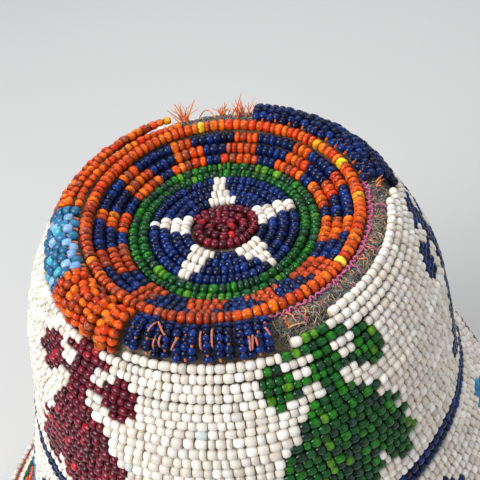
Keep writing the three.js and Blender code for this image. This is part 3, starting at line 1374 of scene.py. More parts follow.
@dataclass
class Shell:
    """The cap's cloth: crown, wall, stiffener, linings and the tape round the hem."""

    form: Form
    maker: PieceMaker
    seam_rows: float = 2.0
    seam_gap: float = 0.1 * MM
    gores: int = 6
    around: int = 200
    crown_step: float = 0.9 * MM
    wall_step: float = 2.0 * MM
    stitch_pitch: float = 4.2 * MM
    tape_map: tuple[float, float] = (0.58, 0.04)
    pale_thread: Colour = (0.55, 0.47, 0.34)
    red_thread: Colour = (0.23, 0.02, 0.03)

    def build(self, nodes: dict[str, bpy.types.Object]) -> None:
        """Builds every layer and hands it over.

        Args:
            nodes: The frame's nodes by name.
        """
        form, s = self.form, self.form.sizes
        shelf = self.maker.shelf.cloth
        seam = form.crown_edge + self.seam_rows * s.row_pitch
        under = -(s.cloth + s.clearance)
        deep = under - s.stiffener - s.clearance
        fold = s.binding + s.clearance
        inset = s.lining - under + s.clearance
        end = form.at_height(fold, s.clearance - inset)
        ring = form.crown_edge - s.row_pitch
        layers = {
            "crown_cloth": (0.0, seam - self.seam_gap, -s.cloth, 0.0, WOOL, 0.12 * MM, 0),
            "wall_cloth": (seam + self.seam_gap, end, -s.cloth, 0.0, WOOL, 0.06 * MM, 0),
            "crown_lining": (0.0, ring, deep - s.lining, deep, COTTON, 0.05 * MM, 0),
            "wall_lining": (
                seam + s.row_pitch, end, under - s.lining, under, COTTON, 0.05 * MM, self.gores
            ),
        }
        for name, (first, last, inner, outer, cloth, lumps, ridges) in layers.items():
            step = self.crown_step if name.startswith("crown") else self.wall_step
            skin = ClothSkin(
                name + "_sewn", first, last, inner, outer, self.around, step, lumps, ridges
            )
            piece = skin.build(form, shelf[cloth.name])
            self.maker.hand_over(piece, [name], cloth.name)
            self.declare(first, last)
        stiffener = nodes["crown_stiffener"]
        stiffener.data.materials.clear()
        stiffener.data.materials.append(shelf[RAWHIDE.name])
        self.bind_hem()
        self.sew(deep - s.lining, under - s.lining)

    def declare(self, first: float, last: float) -> None:
        """Works out a layer's radius along its length, and keeps nothing of it.

        Args:
            first: Where it starts along the profile.
            last: Where it ends.
        """
        path = np.linspace(first, last, 200)
        radius = self.form.line(path)[:, 0]

    def bind_hem(self) -> None:
        """The tape folded over the hem."""
        form, s = self.form, self.form.sizes
        inset = s.lining + s.cloth + 2 * s.clearance
        around, profile = self.around, []
        legs = (
            (-(inset + s.binding), 0.0, 1),
            (s.clearance + s.binding, 0.0, -1),
            (s.clearance, s.binding, 1),
            (-inset, s.binding, -1),
        )
        for offset, foot, way in legs:
            path = np.linspace(form.binding_top, form.at_height(foot, offset), 9)[::way]
            profile += [(distance, offset) for distance in path]
        azimuth = np.linspace(0, 360, around, endpoint=False)[:, None]
        distance, offset = np.array(profile).T
        puckers = 0.12 * MM * np.sin(np.radians(azimuth) * 88) * (offset > 0)
        points = form.place(azimuth, distance[None], offset[None] + puckers)
        points[..., 2] = np.maximum(points[..., 2], 0)
        rows, faces, places = len(profile), [], []
        for i in range(around):
            for j in range(rows):
                n, k = (i + 1) % around, (j + 1) % rows
                faces.append((i * rows + j, n * rows + j, n * rows + k, i * rows + k))
                for across, along in ((i, j), (i + 1, j), (i + 1, j + 1), (i, j + 1)):
                    places.append((across / around, along / rows))
        maps = {"cloth": np.array(places) * self.tape_map, "OFBake": np.array(places)}
        mesh = cloth_mesh("hem_tape", points, faces, maps, self.maker.shelf.cloth[TAPE.name])
        tape = put_in_scene("hem_tape", mesh)
        self.maker.hand_over(tape, ["hem_binding"], TAPE.name)

    def sew(self, crown_inside: float, wall_inside: float) -> None:
        """The stitches that show: round the hem, down the gores and round the crown lining.

        Args:
            crown_inside: How far the crown lining's inner face lies from the form.
            wall_inside: How far the wall lining's inner face lies from it.
        """
        form, s = self.form, self.form.sizes
        pale, red = self.pale_thread, self.red_thread
        lines = []
        outside = s.clearance + s.binding
        for azimuth in np.arange(0, 360, math.degrees(self.stitch_pitch / s.hem_radius)):
            slant = azimuth + np.linspace(0, 0.9, 5)
            path = form.binding_top + np.linspace(-0.9, 1.5, 5) * MM
            rise = outside + np.array([-0.9, 0.1, 0.22, 0.1, -0.3]) * MM
            lines.append(ThreadLine(form.place(slant, path, rise), 0.22 * MM, red))
        seam = form.crown_edge + (self.seam_rows + 1) * s.row_pitch
        for gore in range(self.gores):
            azimuth = 360 * (gore + 0.5) / self.gores
            for start in np.arange(seam + 2 * MM, form.binding_top - 4 * MM, self.stitch_pitch):
                path = start + np.linspace(0, 0.55, 5) * self.stitch_pitch
                sink = wall_inside - np.array([0.05, 0.75, 0.8, 0.75, 0.05]) * MM
                lines.append(ThreadLine(form.place(azimuth + 1.2, path, sink), 0.2 * MM, pale))
        ring = form.crown_edge - s.row_pitch - 2 * MM
        for azimuth in np.arange(0, 360, 9.0):
            arc = azimuth + np.linspace(0, 5, 5)
            sink = crown_inside - np.array([0.0, 0.2, 0.25, 0.2, 0.0]) * MM
            lines.append(ThreadLine(form.place(arc, ring, sink), 0.2 * MM, pale))
        piece = self.maker.threads("sewn_stitches", lines)
        self.maker.hand_over(piece, [], "pink_thread")


# ---------------------------------------------------------------- the rosette


@dataclass
class Rosette:
    """The sunk crown: a garnet coil, a white star on blue, green rows, wedges and an orange row."""

    form: Form
    maker: PieceMaker
    coil_rows: float = 3.0
    star_arms: tuple[float, ...] = (88.0, 13.0, 305.0, 232.0, 166.0)
    arm_beads: tuple[float, ...] = (4.1, 3.3, 2.4, 1.6)
    wedges: tuple[float, ...] = (
        *(355.0, 25.0, 56.0, 88.0, 120.0, 153.0),
        *(180.0, 212.0, 240.0, 270.0, 298.0, 326.0),
    )
    wedge_beads: tuple[float, ...] = (2.3, 4.0, 5.7)
    star_length: float = 1.40 * MM
    green_length: float = 1.50 * MM
    wedge_length: float = 1.62 * MM

    def build(self) -> None:
        """Strings every row and hands it over."""
        self.coil()
        for i in range(4):
            self.row(f"star_row_{i + 1}", 3 + i, self.star_length, "dark_blue_beads", self.star(i))
        for i in range(2):
            self.row(f"green_row_{i + 1}", 7 + i, self.green_length, "green_beads", all_one("green"))
        for i in range(3):
            self.row(f"wedge_row_{i + 1}", 9 + i, self.wedge_length, "orange_beads", self.wedge(i))
        self.row("orange_row", 12, self.wedge_length, "orange_beads", self.edge_colours)

    def centre(self, row: float) -> tuple[float, float]:
        """A row's distance and offset, for its centre at its own radius.

        Args:
            row: The row's number, counted from the crown's centre.

        Returns:
            The distance along the profile and the offset from the cloth.
        """
        s = self.form.sizes
        lift = 0.4 * MM if row >= 12 else 0.0
        offset = s.clearance + s.bead_height / 2 + lift
        crowded = 0.35 * MM * math.exp(-(row - 3))
        return self.form.at_radius((row + 0.5) * s.row_pitch + crowded, offset), offset

    def row(self, node: str, row: int, length: float, slot: str, pick: Picker) -> None:
        """Strings one row and hands it over.

        Args:
            node: The frame's node that it stands for.
            row: The row's number, counted from the crown's centre.
            length: A bead's length.
            slot: What the row is mostly made of.
            pick: What names its colours.
        """
        s = self.form.sizes
        distance, offset = self.centre(row)
        strings = Strings(self.form, 100 + row)
        width = s.row_pitch * (1.1 if row >= 9 else 1.02)
        spread = 0.22 if slot == "green_beads" else 0.14
        strings.ring(RingLay(distance, offset, width, length, pick, length_spread=spread))
        piece = self.maker.beads(node + "_strung", strings)
        self.maker.hand_over(piece, [node], slot)

    def star(self, i: int) -> Picker:
        """The colours of a star row: white where an arm crosses it, blue between.

        Args:
            i: The row's number, counted from the coil.

        Returns:
            The row's picker.
        """
        radius = (3.5 + i) * self.form.sizes.row_pitch
        half = math.degrees(self.arm_beads[i] / 2 * self.star_length / radius)

        def pick(azimuth: Array, turn: float) -> list[str]:
            """White near an arm, blue elsewhere."""
            near = np.min([np.abs(turn_between(azimuth, arm)) for arm in self.star_arms], axis=0)
            return ["white" if gap < half else "blue" for gap in near]

        return pick

    def wedge(self, i: int) -> Picker:
        """The colours of a wedge row: blue wedges that widen outwards, orange between.

        Args:
            i: The row's number, counted from the green rows.

        Returns:
            The row's picker.
        """
        radius = (9.5 + i) * self.form.sizes.row_pitch
        half = math.degrees(self.wedge_beads[i] / 2 * self.wedge_length / radius)

        def pick(azimuth: Array, turn: float) -> list[str]:
            """Blue in a wedge, orange elsewhere, duller on one side.

            Args:
                azimuth: The azimuths of the row's beads.
                turn: The turn between two of them.

            Returns:
                A colour name for each bead.
            """
            near = np.min([np.abs(turn_between(azimuth, place)) for place in self.wedges], axis=0)
            warm = np.where(np.abs(turn_between(azimuth, 70)) < 105, "orange", "dull_orange")
            mixed = np.where(np.arange(len(azimuth)) % 3 == 0, "dull_orange", warm)
            return ["blue" if gap < half else str(name) for gap, name in zip(near, mixed)]

        return pick

    def edge_colours(self, azimuth: Array, turn: float) -> list[str]:
        """The outermost row: bright on one side, dull and pinkish on the other.

        Args:
            azimuth: The azimuths of the row's beads.
            turn: The turn between two of them.

        Returns:
            A colour name for each bead.
        """
        dull = np.abs(turn_between(azimuth, 215)) < 52
        return [
            "dull_orange" if is_dull and i % 9 else ("yellow" if i % 23 == 5 else "orange")
            for i, is_dull in enumerate(dull)
        ]

    def coil(self) -> None:
        """The centre: one string wound round itself in an uneven spiral."""
        form, s = self.form, self.form.sizes
        strings = Strings(form, 99)
        pitch, rng = s.row_pitch * 0.86, strings.rng
        turns = np.linspace(0.35, self.coil_rows / 0.86 - 0.15, 400)
        radius = pitch * turns * (1 + 0.03 * np.sin(turns * 11))
        angle = 360 * turns + 30
        squash = 1.03 + 0.11 * np.cos(2 * np.radians(angle))
        track = form.place(angle, radius * squash, s.clearance + s.bead_height / 2)
        track[:, 2] += 0.5 * MM * np.exp(-((turns / 1.3) ** 2)) + 0.2 * MM * np.sin(turns * 9)
        along = np.concatenate([[0], np.cumsum(np.linalg.norm(np.diff(track, axis=0), axis=1))])
        marks = [0.0]
        while marks[-1] < along[-1]:
            marks.append(marks[-1] + float(rng.uniform(1.1, 2.0)) * MM)
        knots = np.stack([np.interp(marks, along, track[:, i]) for i in range(3)], 1)
        count = len(knots) - 1
        out = np.tile((0.0, 0.0, 1.0), (count, 1))
        strings.thread_on(knots[:-1], knots[1:], out, 2.15 * MM, ["garnet"] * count)
        piece = self.maker.beads("centre_coil_strung", strings)
        self.maker.hand_over(piece, ["centre_coil"], "garnet_beads")


# ---------------------------------------------------------------- the rim


class Lay(Enum):
    """Which way a rim patch's strings run."""

    ACROSS = "over the rim, from the crown to the wall"
    ROUND = "along the rim"


@dataclass(frozen=True)
class RimPatch:
    """A patch of netted beads on the rim.

    Its ends and the strings missing from it are azimuths. The trim is how far short of the wall
    its strings stop, and the ties are loose threads that cross it.
    """

    node: str
    first: float
    last: float
    colour: str
    lay: Lay
    beads: int
    bulge: float
    thread: Colour
    width: float = 2.15 * MM
    missing: tuple[float, ...] = ()
    trim: float = 0.0
    ties: int = 0


@dataclass
class Rim:
    """The rim roll: netted patches, the thread that shows through them, and bare felt between."""

    form: Form
    maker: PieceMaker
    patches: tuple[RimPatch, ...] = (
        RimPatch(
            "roll_net_blue_back", 4, 71, "blue", Lay.ACROSS,
            beads=6, bulge=1.3 * MM, thread=(0.60, 0.09, 0.015), width=2.1 * MM,
        ),
        RimPatch(
            "roll_net_orange_back", 101, 165, "orange", Lay.ROUND,
            beads=5, bulge=0.9 * MM, thread=(0.72, 0.16, 0.03),
        ),
        RimPatch(
            "roll_net_turquoise", 166, 199, "turquoise", Lay.ACROSS,
            beads=4, bulge=0.7 * MM, thread=(0.72, 0.25, 0.12), width=2.25 * MM,
        ),
        RimPatch(
            "roll_net_orange_front", 200, 232, "orange", Lay.ACROSS,
            beads=6, bulge=1.5 * MM, thread=(0.60, 0.10, 0.02), width=2.1 * MM,
        ),
        RimPatch(
            "roll_net_blue_front", 233, 281, "blue", Lay.ACROSS,
            beads=5, bulge=0.5 * MM, thread=(0.66, 0.18, 0.08), width=1.9 * MM,
            missing=(261.0,), trim=1.9 * MM, ties=11,
        ),
    )
    pink: Colour = (0.60, 0.11, 0.25)
    packing: float = 0.90
    net_thread: float = 0.32 * MM
    tie_thread: float = 0.2 * MM
    round_bead: float = 1.75 * MM
    dull_share: float = 0.25
    felt_tints: tuple[tuple[float, Colour], ...] = (
        (0.24, (0.30, 0.22, 0.13)),
        (0.18, (0.36, 0.27, 0.18)),
        (0.22, (0.08, 0.075, 0.06)),
        (0.16, (0.06, 0.17, 0.20)),
        (0.11, (0.50, 0.41, 0.30)),
        (0.09, (0.50, 0.15, 0.22)),
    )
    felt_zones: tuple[tuple[float, float, int], ...] = (
        (281.0, 363.0, 1500),
        (71.0, 101.0, 420),
        (258.0, 264.0, 60),
    )
    tufts: tuple[tuple[float, int, float], ...] = (
        (99.0, 26, 5.5),
        (83.0, 16, 3.0),
        (76.0, 18, 4.0),
        (72.5, 10, 3.0),
        (2.0, 8, 2.5),
        (285.0, 7, 2.5),
    )

    def build(self) -> None:
        """Builds the patches, the couching thread, the loose ends and the felt's fibres."""
        threads: list[ThreadLine] = []
        slots = {"blue": "dark_blue_beads", "orange": "orange_beads", "turquoise": "turquoise_beads"}
        for number, patch in enumerate(self.patches):
            strings = Strings(self.form, 300 + number)
            if patch.lay is Lay.ACROSS:
                threads += self.across(patch, strings)
            else:
                self.round(patch, strings)
            piece = self.maker.beads(patch.node + "_strung", strings)
            self.maker.hand_over(piece, [patch.node], slots[patch.colour])
        self.maker.hand_over(self.maker.threads("net_threads", threads), [], "pink_thread")
        self.couching()
        self.loose_ends()
        self.fibres()

    def reach(self) -> tuple[float, float]:
        """Where the strings start beside the orange row and where they end above the wall.

        Returns:
            Both distances along the profile.
        """
        s = self.form.sizes
        start = self.form.at_radius(self.form.crown_radius + s.clearance, s.bead_height)
        return start, self.form.wall_top - s.clearance

    def across(self, patch: RimPatch, strings: Strings) -> list[ThreadLine]:
        """Strings that run over the rim.

        Args:
            patch: The patch.
            strings: Where its beads are gathered.

        Returns:
            The threads through them.
        """
        form, rng = self.form, strings.rng
        start, end = self.reach()
        end -= patch.trim
        radius = form.line((start + end) / 2)[0]
        pitch = math.degrees(patch.width * self.packing / radius)
        threads = []
        for number, azimuth in enumerate(np.arange(patch.first + pitch / 2, patch.last, pitch)):
            if any(abs(azimuth - gap) < pitch * 0.7 for gap in patch.missing):
                continue
            share = np.linspace(0, 1, 25)
            path = start + (end - start) * share + rng.normal(0, 0.2 * MM)
            lean = azimuth + rng.normal(0, 0.3) + rng.normal(0, 0.6) * share
            rise = (1.15 + rng.normal(0, 0.12)) * MM + patch.bulge * np.sin(math.pi * share) ** 0.8
            track = form.place(lean, path, rise)
            gone = np.concatenate([[0], np.cumsum(np.linalg.norm(np.diff(track, axis=0), axis=1))])
            count = patch.beads + int(rng.random() < 0.3)
            slack = gone[-1] / (count + 0.4)
            marks = (np.arange(count) + 0.5 + 0.4 * (number % 2)) * slack
            marks = marks + rng.normal(0, 0.09 * MM, count)
            half = np.minimum(slack / 2, patch.width * 0.5)
            both = [np.clip(marks + side * half, 0, gone[-1]) for side in (-1, 1)]
            ends = [np.stack([np.interp(m, gone, track[:, i]) for i in range(3)], 1) for m in both]
            middle = len(path) // 2
            out = np.tile(form.outward(lean[[0]], path[[middle]]), (count, 1))
            colours = [self.shade(patch.colour, rng) for _ in range(count)]
            if patch.colour == "turquoise" and number % 2:
                colours[0] = "pale_blue"
            strings.thread_on(ends[0], ends[1], out, patch.width, colours)
            threads.append(ThreadLine(track, self.net_thread, patch.thread))
        for azimuth in rng.uniform(patch.first + 3, patch.last - 3, patch.ties):
            share = np.linspace(0, 1, 9)
            low = start + (end - start) * rng.uniform(0.1, 0.5)
            path = low + (end - start) * rng.uniform(0.25, 0.5) * share
            lean = azimuth + rng.normal(0, 2.5) * share
            rise = 0.9 * MM + (patch.bulge + 1.3 * MM) * np.sin(math.pi * share) ** 0.4
            tie = form.place(lean, path, rise)
            threads.append(ThreadLine(tie, self.tie_thread, patch.thread))
        return threads

    def round(self, patch: RimPatch, strings: Strings) -> None:
        """Strings that run along the rim, the outer ones shorter than the inner.

        Args:
            patch: The patch.
            strings: Where its beads are gathered.
        """
        start, end = self.reach()
        rows = patch.beads

        def pick(azimuth: Array, turn: float) -> list[str]:
            """The net's colour, now and then a dull one."""
            return [self.shade(patch.colour, strings.rng) for _ in azimuth]

        for row in range(rows):
            share = (row + 0.25) / rows
            distance = start + (end - start) * share
            rise = 1.3 * MM + patch.bulge * math.sin(math.pi * share)
            cut = 3.0 * row
            width = (end - start) / rows * 1.10
            first, last, bead = patch.first + cut, patch.last, self.round_bead
            strings.ring(RingLay(distance, rise, width, bead, pick, first, last, 0.22 * MM, 0.16))

    def shade(self, colour: str, rng: np.random.Generator) -> str:
        """A bead's colour name: in the orange net one in four is dull."""
        return "dull_orange" if colour == "orange" and rng.random() < self.dull_share else colour

    def couching(self) -> None:
        """The pink thread that couches the orange row, looped and fuzzy on the bare cloth."""
        form, rng = self.form, np.random.default_rng(41)
        base = form.crown_edge + 0.55 * MM
        lines = []
        for strand in range(3):
            azimuth = np.arange(279, 366, 0.35)
            sway = 0.6 * np.sin(azimuth * (1.9 + 0.5 * strand) + strand * 2)
            path = base + (0.35 * strand + 0.45 * sway) * MM + rng.normal(0, 0.08 * MM, len(azimuth))
            rise = 0.45 * MM + 0.3 * MM * np.cos(azimuth * 2.3 + strand) + 0.2 * MM * strand
            lines.append(ThreadLine(form.place(azimuth, path, rise), 0.17 * MM, self.pink))
        for azimuth in rng.uniform(281, 362, 18):
            path = base + np.linspace(0.3, rng.uniform(1.2, 3.6), 9) * MM
            bend = azimuth + np.cumsum(rng.normal(0, 0.5, 9))
            rise = np.abs(rng.normal(0.4, 0.15, 9)) * MM
            tint = self.pink if rng.random() < 0.6 else (0.70, 0.24, 0.10)
            lines.append(ThreadLine(form.place(bend, path, rise), 0.16 * MM, tint))
        piece = self.maker.threads("couching_thread_laid", lines)
        self.maker.hand_over(piece, ["couching_thread"], "pink_thread")

    def loose_ends(self) -> None:
        """Frayed orange thread where the net has come away."""
        form, rng = self.form, np.random.default_rng(43)
        lines = []
        for azimuth, count, length in self.tufts:
            root = form.place(azimuth, form.crown_edge + 3.5 * MM, 0.2 * MM)
            out = form.outward(azimuth, form.crown_edge + 3.5 * MM)
            for _ in range(count):
                aim = unit(out * 0.9 + rng.normal(0, 0.42, 3) + np.array([0, 0, 0.5]))
                share = np.linspace(0, 1, 7)[:, None]
                bend = rng.normal(0, 0.22, 3) * share**2
                reach = length * rng.uniform(0.45, 1.0) * MM
                points = root + rng.normal(0, 0.5 * MM, 3) + reach * (aim * share + bend)
                tint = (0.90, 0.21, 0.015) if rng.random() < 0.75 else (0.85, 0.42, 0.20)
                lines.append(ThreadLine(points, np.linspace(0.19, 0.07, 7) * MM, tint))
        for first, height in ((73.0, 2.2), (78.0, 1.4), (86.0, 1.8)):
            azimuth = first + np.linspace(0, 7, 15)
            rise = 0.4 * MM + height * MM * np.sin(np.linspace(0, math.pi, 15))
            path = form.crown_edge + np.linspace(2.5, 6.0, 15) * MM
            lines.append(ThreadLine(form.place(azimuth, path, rise), 0.16 * MM, (0.74, 0.30, 0.12)))
        piece = self.maker.threads("loose_thread_ends", lines)
        self.maker.hand_over(piece, [], "pink_thread")

    def fibres(self) -> None:
        """Wool fibres that stand off the bare felt."""
        form, rng = self.form, np.random.default_rng(47)
        shares, tints = zip(*self.felt_tints)
        lines = []
        for first, last, count in self.felt_zones:
            for _ in range(count):
                azimuth = rng.uniform(first, last)
                path = form.crown_edge + rng.uniform(0.6, 10.5) * MM
                share = np.linspace(0, 1, 6)
                heading = rng.uniform(0, 2 * math.pi)
                reach = rng.uniform(1.0, 3.2) * MM
                curl = heading + rng.normal(0, 1.0) * share
                sideways = azimuth + np.degrees(reach * share * np.cos(curl) / (34 * MM))
                down = path + reach * share * np.sin(curl)
                arch = np.sin(math.pi * np.clip(share + 0.12, 0, 1))
                rise = rng.uniform(0.15, 0.75) * MM * arch + 0.04 * MM
                tint = tints[rng.choice(len(tints), p=shares)]
                line = form.place(sideways, down, rise)
                lines.append(ThreadLine(line, rng.uniform(0.06, 0.14) * MM, tint))
        piece = self.maker.threads("wool_fibres", lines, fine=True)
        self.maker.hand_over(piece, [], "wool_cloth")


# ---------------------------------------------------------------- the wall


class Chart:
    """A bead-worker's chart: one letter a bead, one line a row."""

    def __init__(self, *lines: str) -> None:
        """Takes the chart's lines, all of one length."""
        self.lines = lines
        self.width = len(lines[0])

    def letter(self, row: int, column: int) -> str:
        """The letter at a place on the chart, or a dot off it.

        Args:
            row: Rows down from the chart's first.
            column: Beads from its middle column.

        Returns:
            The letter.
        """
        place = column + self.width // 2
        if 0 <= row < len(self.lines) and 0 <= place < self.width:
            return self.lines[row][place]
        return "."


FIGURE = Chart(
    "........###........",
    "......#######......",
    "...##...###...##...",
    "..####..###..####..",
    "..###############..",
    "..####..###..####..",
    "...##...###...##...",
    ".......#####.......",
    "......#######......",
    ".....#########.....",
    ".....#########.....",
    "....###########....",
    "...#############...",
    "...#############...",
    "..###############..",
    "..###############..",
    ".#################.",
    ".####.#######.####.",
    "..###.#######.###..",
)

TALL_FIGURE = Chart(*FIGURE.lines, "..##...#####...##..")

DIAMOND = Chart(
    "......ooo......",
    ".....ooooo.....",
    "....ooiiioo....",
    "....ooiiioo....",
    "...ooiiiiioo...",
    "...ooiiiiioo...",
    "..ooiiicciioo..",
    "..ooiiccciioo..",
    ".ooiiccccciioo.",
    ".ooiiccccciioo.",
    "ooiiccccccciioo",
    ".ooiiccccciioo.",
    ".ooiiccccciioo.",
    "..ooiiccciioo..",
    "..ooiiccciioo..",
    "...ooiiiiioo...",
    "...ooiiiiioo...",
    "....ooiiioo....",
    "....ooiiioo....",
    ".....ooooo.....",
    "......ooo......",
)


@dataclass(frozen=True)
class Motif:
    """A charted motif at an azimuth: its first row and the colour of each letter."""

    chart: Chart
    azimuth: float
    first_row: int
    colours: dict[str, str]


@dataclass(frozen=True)
class Band:
    """A run of wall rows in one piece; with no rows of its own it takes those that are left."""

    node: str
    rows: int
    ground: str
    slot: str
    squeeze: float = 1.0


@dataclass
class Wall:
    """The beaded wall: figures, double lines, stepped diamonds, wedges and the hem's rows."""

    form: Form
    maker: PieceMaker
    bands: tuple[Band, ...] = (
        Band("figure_rows_top", 7, "white", "white_beads", 0.8),
        Band("figure_rows_middle", 7, "white", "white_beads"),
        Band("figure_rows_bottom", 6, "white", "white_beads"),
        Band("blue_line_1", 1, "blue", "dark_blue_beads"),
        Band("blue_line_2", 1, "blue", "dark_blue_beads"),
        Band("white_rows_upper", 3, "white", "white_beads"),
        Band("diamond_rows_upper", 0, "white", "white_beads"),
        Band("diamond_rows_lower", 10, "white", "white_beads"),
        Band("white_rows_lower", 2, "white", "white_beads"),
        Band("blue_line_3", 1, "blue", "dark_blue_beads"),
        Band("blue_line_4", 1, "blue", "dark_blue_beads"),
        Band("wedge_rows", 4, "orange", "orange_beads"),
        Band("green_line_1", 1, "green", "green_beads"),
        Band("green_line_2", 1, "green", "green_beads"),
        Band("white_rows_hem", 3, "white", "white_beads"),
        Band("orange_line_hem", 1, "orange", "orange_beads"),
    )
    figures: tuple[tuple[float, int, str], ...] = (
        (221.0, 0, "garnet"),
        (291.0, -2, "green"),
        (356.0, 0, "blue"),
        (74.0, 0, "turquoise"),
        (146.0, 0, "orange"),
    )
    diamonds: tuple[float, ...] = (
        *(13.0, 45.0, 78.0, 111.0, 145.0, 178.0),
        *(205.0, 232.0, 259.0, 285.0, 313.0, 343.0),
    )
    short_starts: tuple[tuple[int, float, float], ...] = (
        (1, 233.5, 361),
        (2, 283.5, 361),
        (3, 298, 354),
    )
    wedge_count: int = 24
    wedge_tip: float = 0.08
    wedge_growth: float = 0.11
    bead_length: float = 1.92 * MM
    small_bead: float = 0.9
    small_bead_rows: int = 4
    row_width: float = 1.05
    coarse_from: float = 60 * MM
    motifs: list[Motif] = field(default_factory=list)

    def build(self) -> None:
        """Strings every band and hands it over."""
        form, s = self.form, self.form.sizes
        end = form.binding_top - s.clearance
        squeezed = self.bands[0].rows * (1 - self.bands[0].squeeze)
        rows = math.floor((end - form.wall_top) / s.row_pitch + squeezed)
        pitch = (end - form.wall_top) / (rows - squeezed)
        spare = rows - sum(band.rows for band in self.bands)
        self.motifs = self.plan(spare)
        distance, row = form.wall_top, 0
        for number, band in enumerate(self.bands):
            count, step = band.rows or spare, pitch * band.squeeze
            strings = Strings(form, 500 + number)
            if number == 0:
                self.short_rows(strings, distance, step)
            for i in range(count):
                pick = self.picker(row, band, i)
                is_small = band.squeeze < 1 and i < self.small_bead_rows
                length = self.bead_length * (self.small_bead if is_small else 1.0)
                centre = distance + (i + 0.5) * step
                offset = s.clearance + s.bead_height / 2
                strings.ring(RingLay(centre, offset, step * self.row_width, length, pick))
                row += 1
            distance += count * step
            is_coarse = distance > form.wall_top + self.coarse_from
            piece = self.maker.beads(band.node + "_strung", strings, coarse=is_coarse)
            self.maker.hand_over(piece, [band.node], band.slot)
        self.hem_beads()

    def plan(self, spare: int) -> list[Motif]:
        """Places the motifs round the wall.

        Args:
            spare: How many rows the upper diamond band has.

        Returns:
            The motifs, later ones over earlier ones.
        """
        motifs = [
            Motif(FIGURE if row == 0 else TALL_FIGURE, azimuth, row, {"#": colour})
            for azimuth, row, colour in self.figures
        ]
        upper = [band.node for band in self.bands].index("diamond_rows_upper")
        first = sum(band.rows for band in self.bands[:upper])
        room = spare + self.bands[upper + 1].rows
        top = first + (room - len(DIAMOND.lines)) // 2 - 1
        blue = {"o": "blue", "i": "yellow", "c": "orange"}
        sky = {"o": "sky", "i": "garnet", "c": "blue"}
        for number, azimuth in enumerate(self.diamonds):
            motifs.append(Motif(DIAMOND, azimuth, top, sky if number % 2 else blue))
        return motifs

    def picker(self, row: int, band: Band, inner_row: int) -> Picker:
        """What names the colours of one row.

        Args:
            row: The row's number on the wall.
            band: The band that it belongs to.
            inner_row: Its number in the band.

        Returns:
            The row's picker.
        """

        def pick(azimuth: Array, turn: float) -> list[str]:
            """The band's ground, its wedges, and the motifs that the row crosses.

            Args:
                azimuth: The azimuths of the row's beads.
                turn: The turn between two of them.

            Returns:
                A colour name for each bead.
            """
            names = np.full(len(azimuth), band.ground, dtype="<U12")
            if band.node == "wedge_rows":
                repeat = 360 / self.wedge_count
                near = np.abs((azimuth % repeat) - repeat / 2)
                names[near < repeat * (self.wedge_tip + self.wedge_growth * inner_row)] = "blue"
            for motif in self.motifs:
                columns = np.round(turn_between(azimuth, motif.azimuth) / turn).astype(int)
                for i in np.flatnonzero(np.abs(columns) <= motif.chart.width // 2):
                    letter = motif.chart.letter(row - motif.first_row, int(columns[i]))
                    names[i] = motif.colours.get(letter, names[i])
            return list(names)

        return pick

    def short_rows(self, strings: Strings, distance: float, step: float) -> None:
        """The rows above the first, where the rim's net is narrow or gone.

        Args:
            strings: Where their beads are gathered.
            distance: Where the first row starts along the profile.
            step: The pitch of the rows.
        """
        offset = self.form.sizes.clearance + self.form.sizes.bead_height / 2
        for rows_up, first, last in self.short_starts:
            pick = self.picker(-rows_up, self.bands[0], 0)
            centre, width = distance - (rows_up - 0.5) * step, step * self.row_width
            strings.ring(RingLay(centre, offset, width, self.bead_length, pick, first, last))

    def hem_beads(self) -> None:
        """White beads sewn along the tape."""
        form, s = self.form, self.form.sizes
        strings = Strings(form, 700)
        offset = 2 * s.clearance + s.binding + 1.0 * MM
        distance = form.length - s.binding_width / 2
        strings.ring(RingLay(distance, offset, 2.0 * MM, self.bead_length, all_one("white")))
        piece = self.maker.beads("hem_edging_sewn", strings, coarse=True)
        self.maker.hand_over(piece, ["hem_edging"], "white_beads")


# ---------------------------------------------------------------- the studio


@dataclass(frozen=True)
class Softbox:
    """A square light that looks at the crown."""

    name: str
    place: tuple[float, float, float]
    size: float
    power: float
    tint: Colour


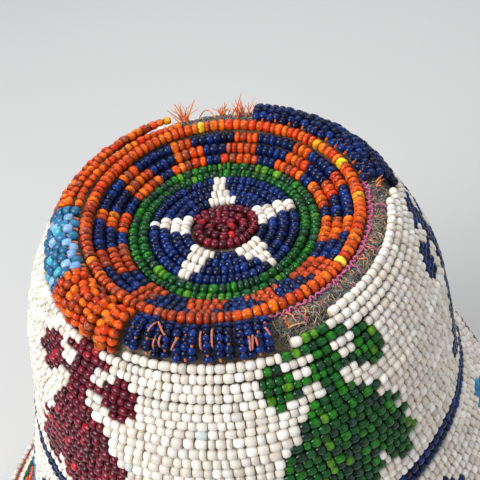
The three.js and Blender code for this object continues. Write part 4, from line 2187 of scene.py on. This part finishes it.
@dataclass
class Studio:
    """A pale floor, soft lights and the camera."""

    form: Form
    lens: float = 65.2
    sensor: float = 36.0
    distance_rows: float = 80.0
    elevation: float = 44.1
    roll: float = -9.4
    shift: tuple[float, float] = (0.0342, -0.0315)
    nearest: float = 5 * MM
    floor_half: float = 3.0
    floor_drop: float = 0.2 * MM
    floor_shades: tuple[tuple[float, Colour], ...] = (
        (0.3, (0.62, 0.62, 0.615)),
        (0.7, (0.65, 0.65, 0.645)),
    )
    softboxes: tuple[Softbox, ...] = (
        Softbox("key_softbox", (-0.42, -0.20, 0.52), 0.34, 3.6, (1.0, 0.99, 0.98)),
        Softbox("top_softbox", (0.05, 0.30, 0.62), 0.50, 1.8, (1.0, 1.0, 1.0)),
        Softbox("fill_softbox", (0.55, -0.45, 0.35), 0.60, 0.8, (1.0, 0.94, 0.86)),
    )
    room_colour: Colour = (0.92, 0.95, 1.0)
    room_light: float = 0.42

    def build(self) -> None:
        """Builds it all."""
        self.floor()
        self.camera()
        for softbox in self.softboxes:
            self.light(softbox)
        world = bpy.data.worlds.new("soft_room")
        world.use_nodes = True
        back = world.node_tree.nodes["Background"]
        back.inputs["Color"].default_value = (*self.room_colour, 1.0)
        back.inputs["Strength"].default_value = self.room_light
        bpy.context.scene.world = world
        bpy.context.scene.view_settings.view_transform = "Standard"

    def floor(self) -> None:
        """A matt floor under the hem."""
        mesh = bpy.data.meshes.new("floor")
        side, low = self.floor_half, -self.floor_drop
        corners = [(-side, -side, low), (side, -side, low), (side, side, low), (-side, side, low)]
        mesh.from_pydata(corners, [], [(0, 1, 2, 3)])
        material, bench, shader = start_finish("pale_floor")
        coords = bench.add("ShaderNodeTexCoord").outputs["Object"]
        grain = bench.add("ShaderNodeTexNoise", Vector=coords, Scale=3.0).outputs[0]
        bench.feed(shader.inputs["Base Color"], bench.ramp(grain, self.floor_shades))
        shader.inputs["Roughness"].default_value = 0.9
        mesh.materials.append(material)
        put_in_scene("floor", mesh)

    def camera(self) -> None:
        """The camera above the front, rolled a little, the crown left of the middle."""
        s = self.form.sizes
        target = Vector((0, 0, s.floor_height + s.clearance + s.bead_height * 0.9))
        rise = math.radians(self.elevation)
        away = self.distance_rows * s.row_pitch
        back = Vector((0, -math.cos(rise), math.sin(rise)))
        up = Vector((0, math.sin(rise), math.cos(rise)))
        right = Vector((1, 0, 0))
        turn = Matrix((right, up, back)).transposed().to_4x4()
        turn = turn @ Matrix.Rotation(math.radians(self.roll), 4, "Z")
        data = bpy.data.cameras.new("camera")
        data.sensor_width = self.sensor
        data.lens = self.lens
        data.shift_x, data.shift_y = self.shift
        data.clip_start = self.nearest
        camera = put_in_scene("camera", data)
        camera.matrix_world = Matrix.Translation(target + back * away) @ turn
        bpy.context.scene.camera = camera

    def light(self, softbox: Softbox) -> None:
        """Hangs a softbox.

        Args:
            softbox: Its place, size, power and tint.
        """
        data = bpy.data.lights.new(softbox.name, "AREA")
        data.shape, data.size = "SQUARE", softbox.size
        data.energy, data.color = softbox.power, softbox.tint
        lamp = put_in_scene(softbox.name, data)
        lamp.location = softbox.place
        aim = Vector((0, 0, self.form.sizes.floor_height)) - Vector(softbox.place)
        lamp.rotation_euler = aim.to_track_quat("-Z", "Y").to_euler()


def main() -> None:
    """Dresses the frame."""
    logging.basicConfig(level=logging.INFO, format="%(message)s")
    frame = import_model()
    form = Form(FormSizes())
    maker = PieceMaker(form, FinishShelf())
    Shell(form, maker).build(frame["nodes"])
    Rosette(form, maker).build()
    Rim(form, maker).build()
    Wall(form, maker).build()
    Studio(form).build()


if __name__ == "__main__":
    main()
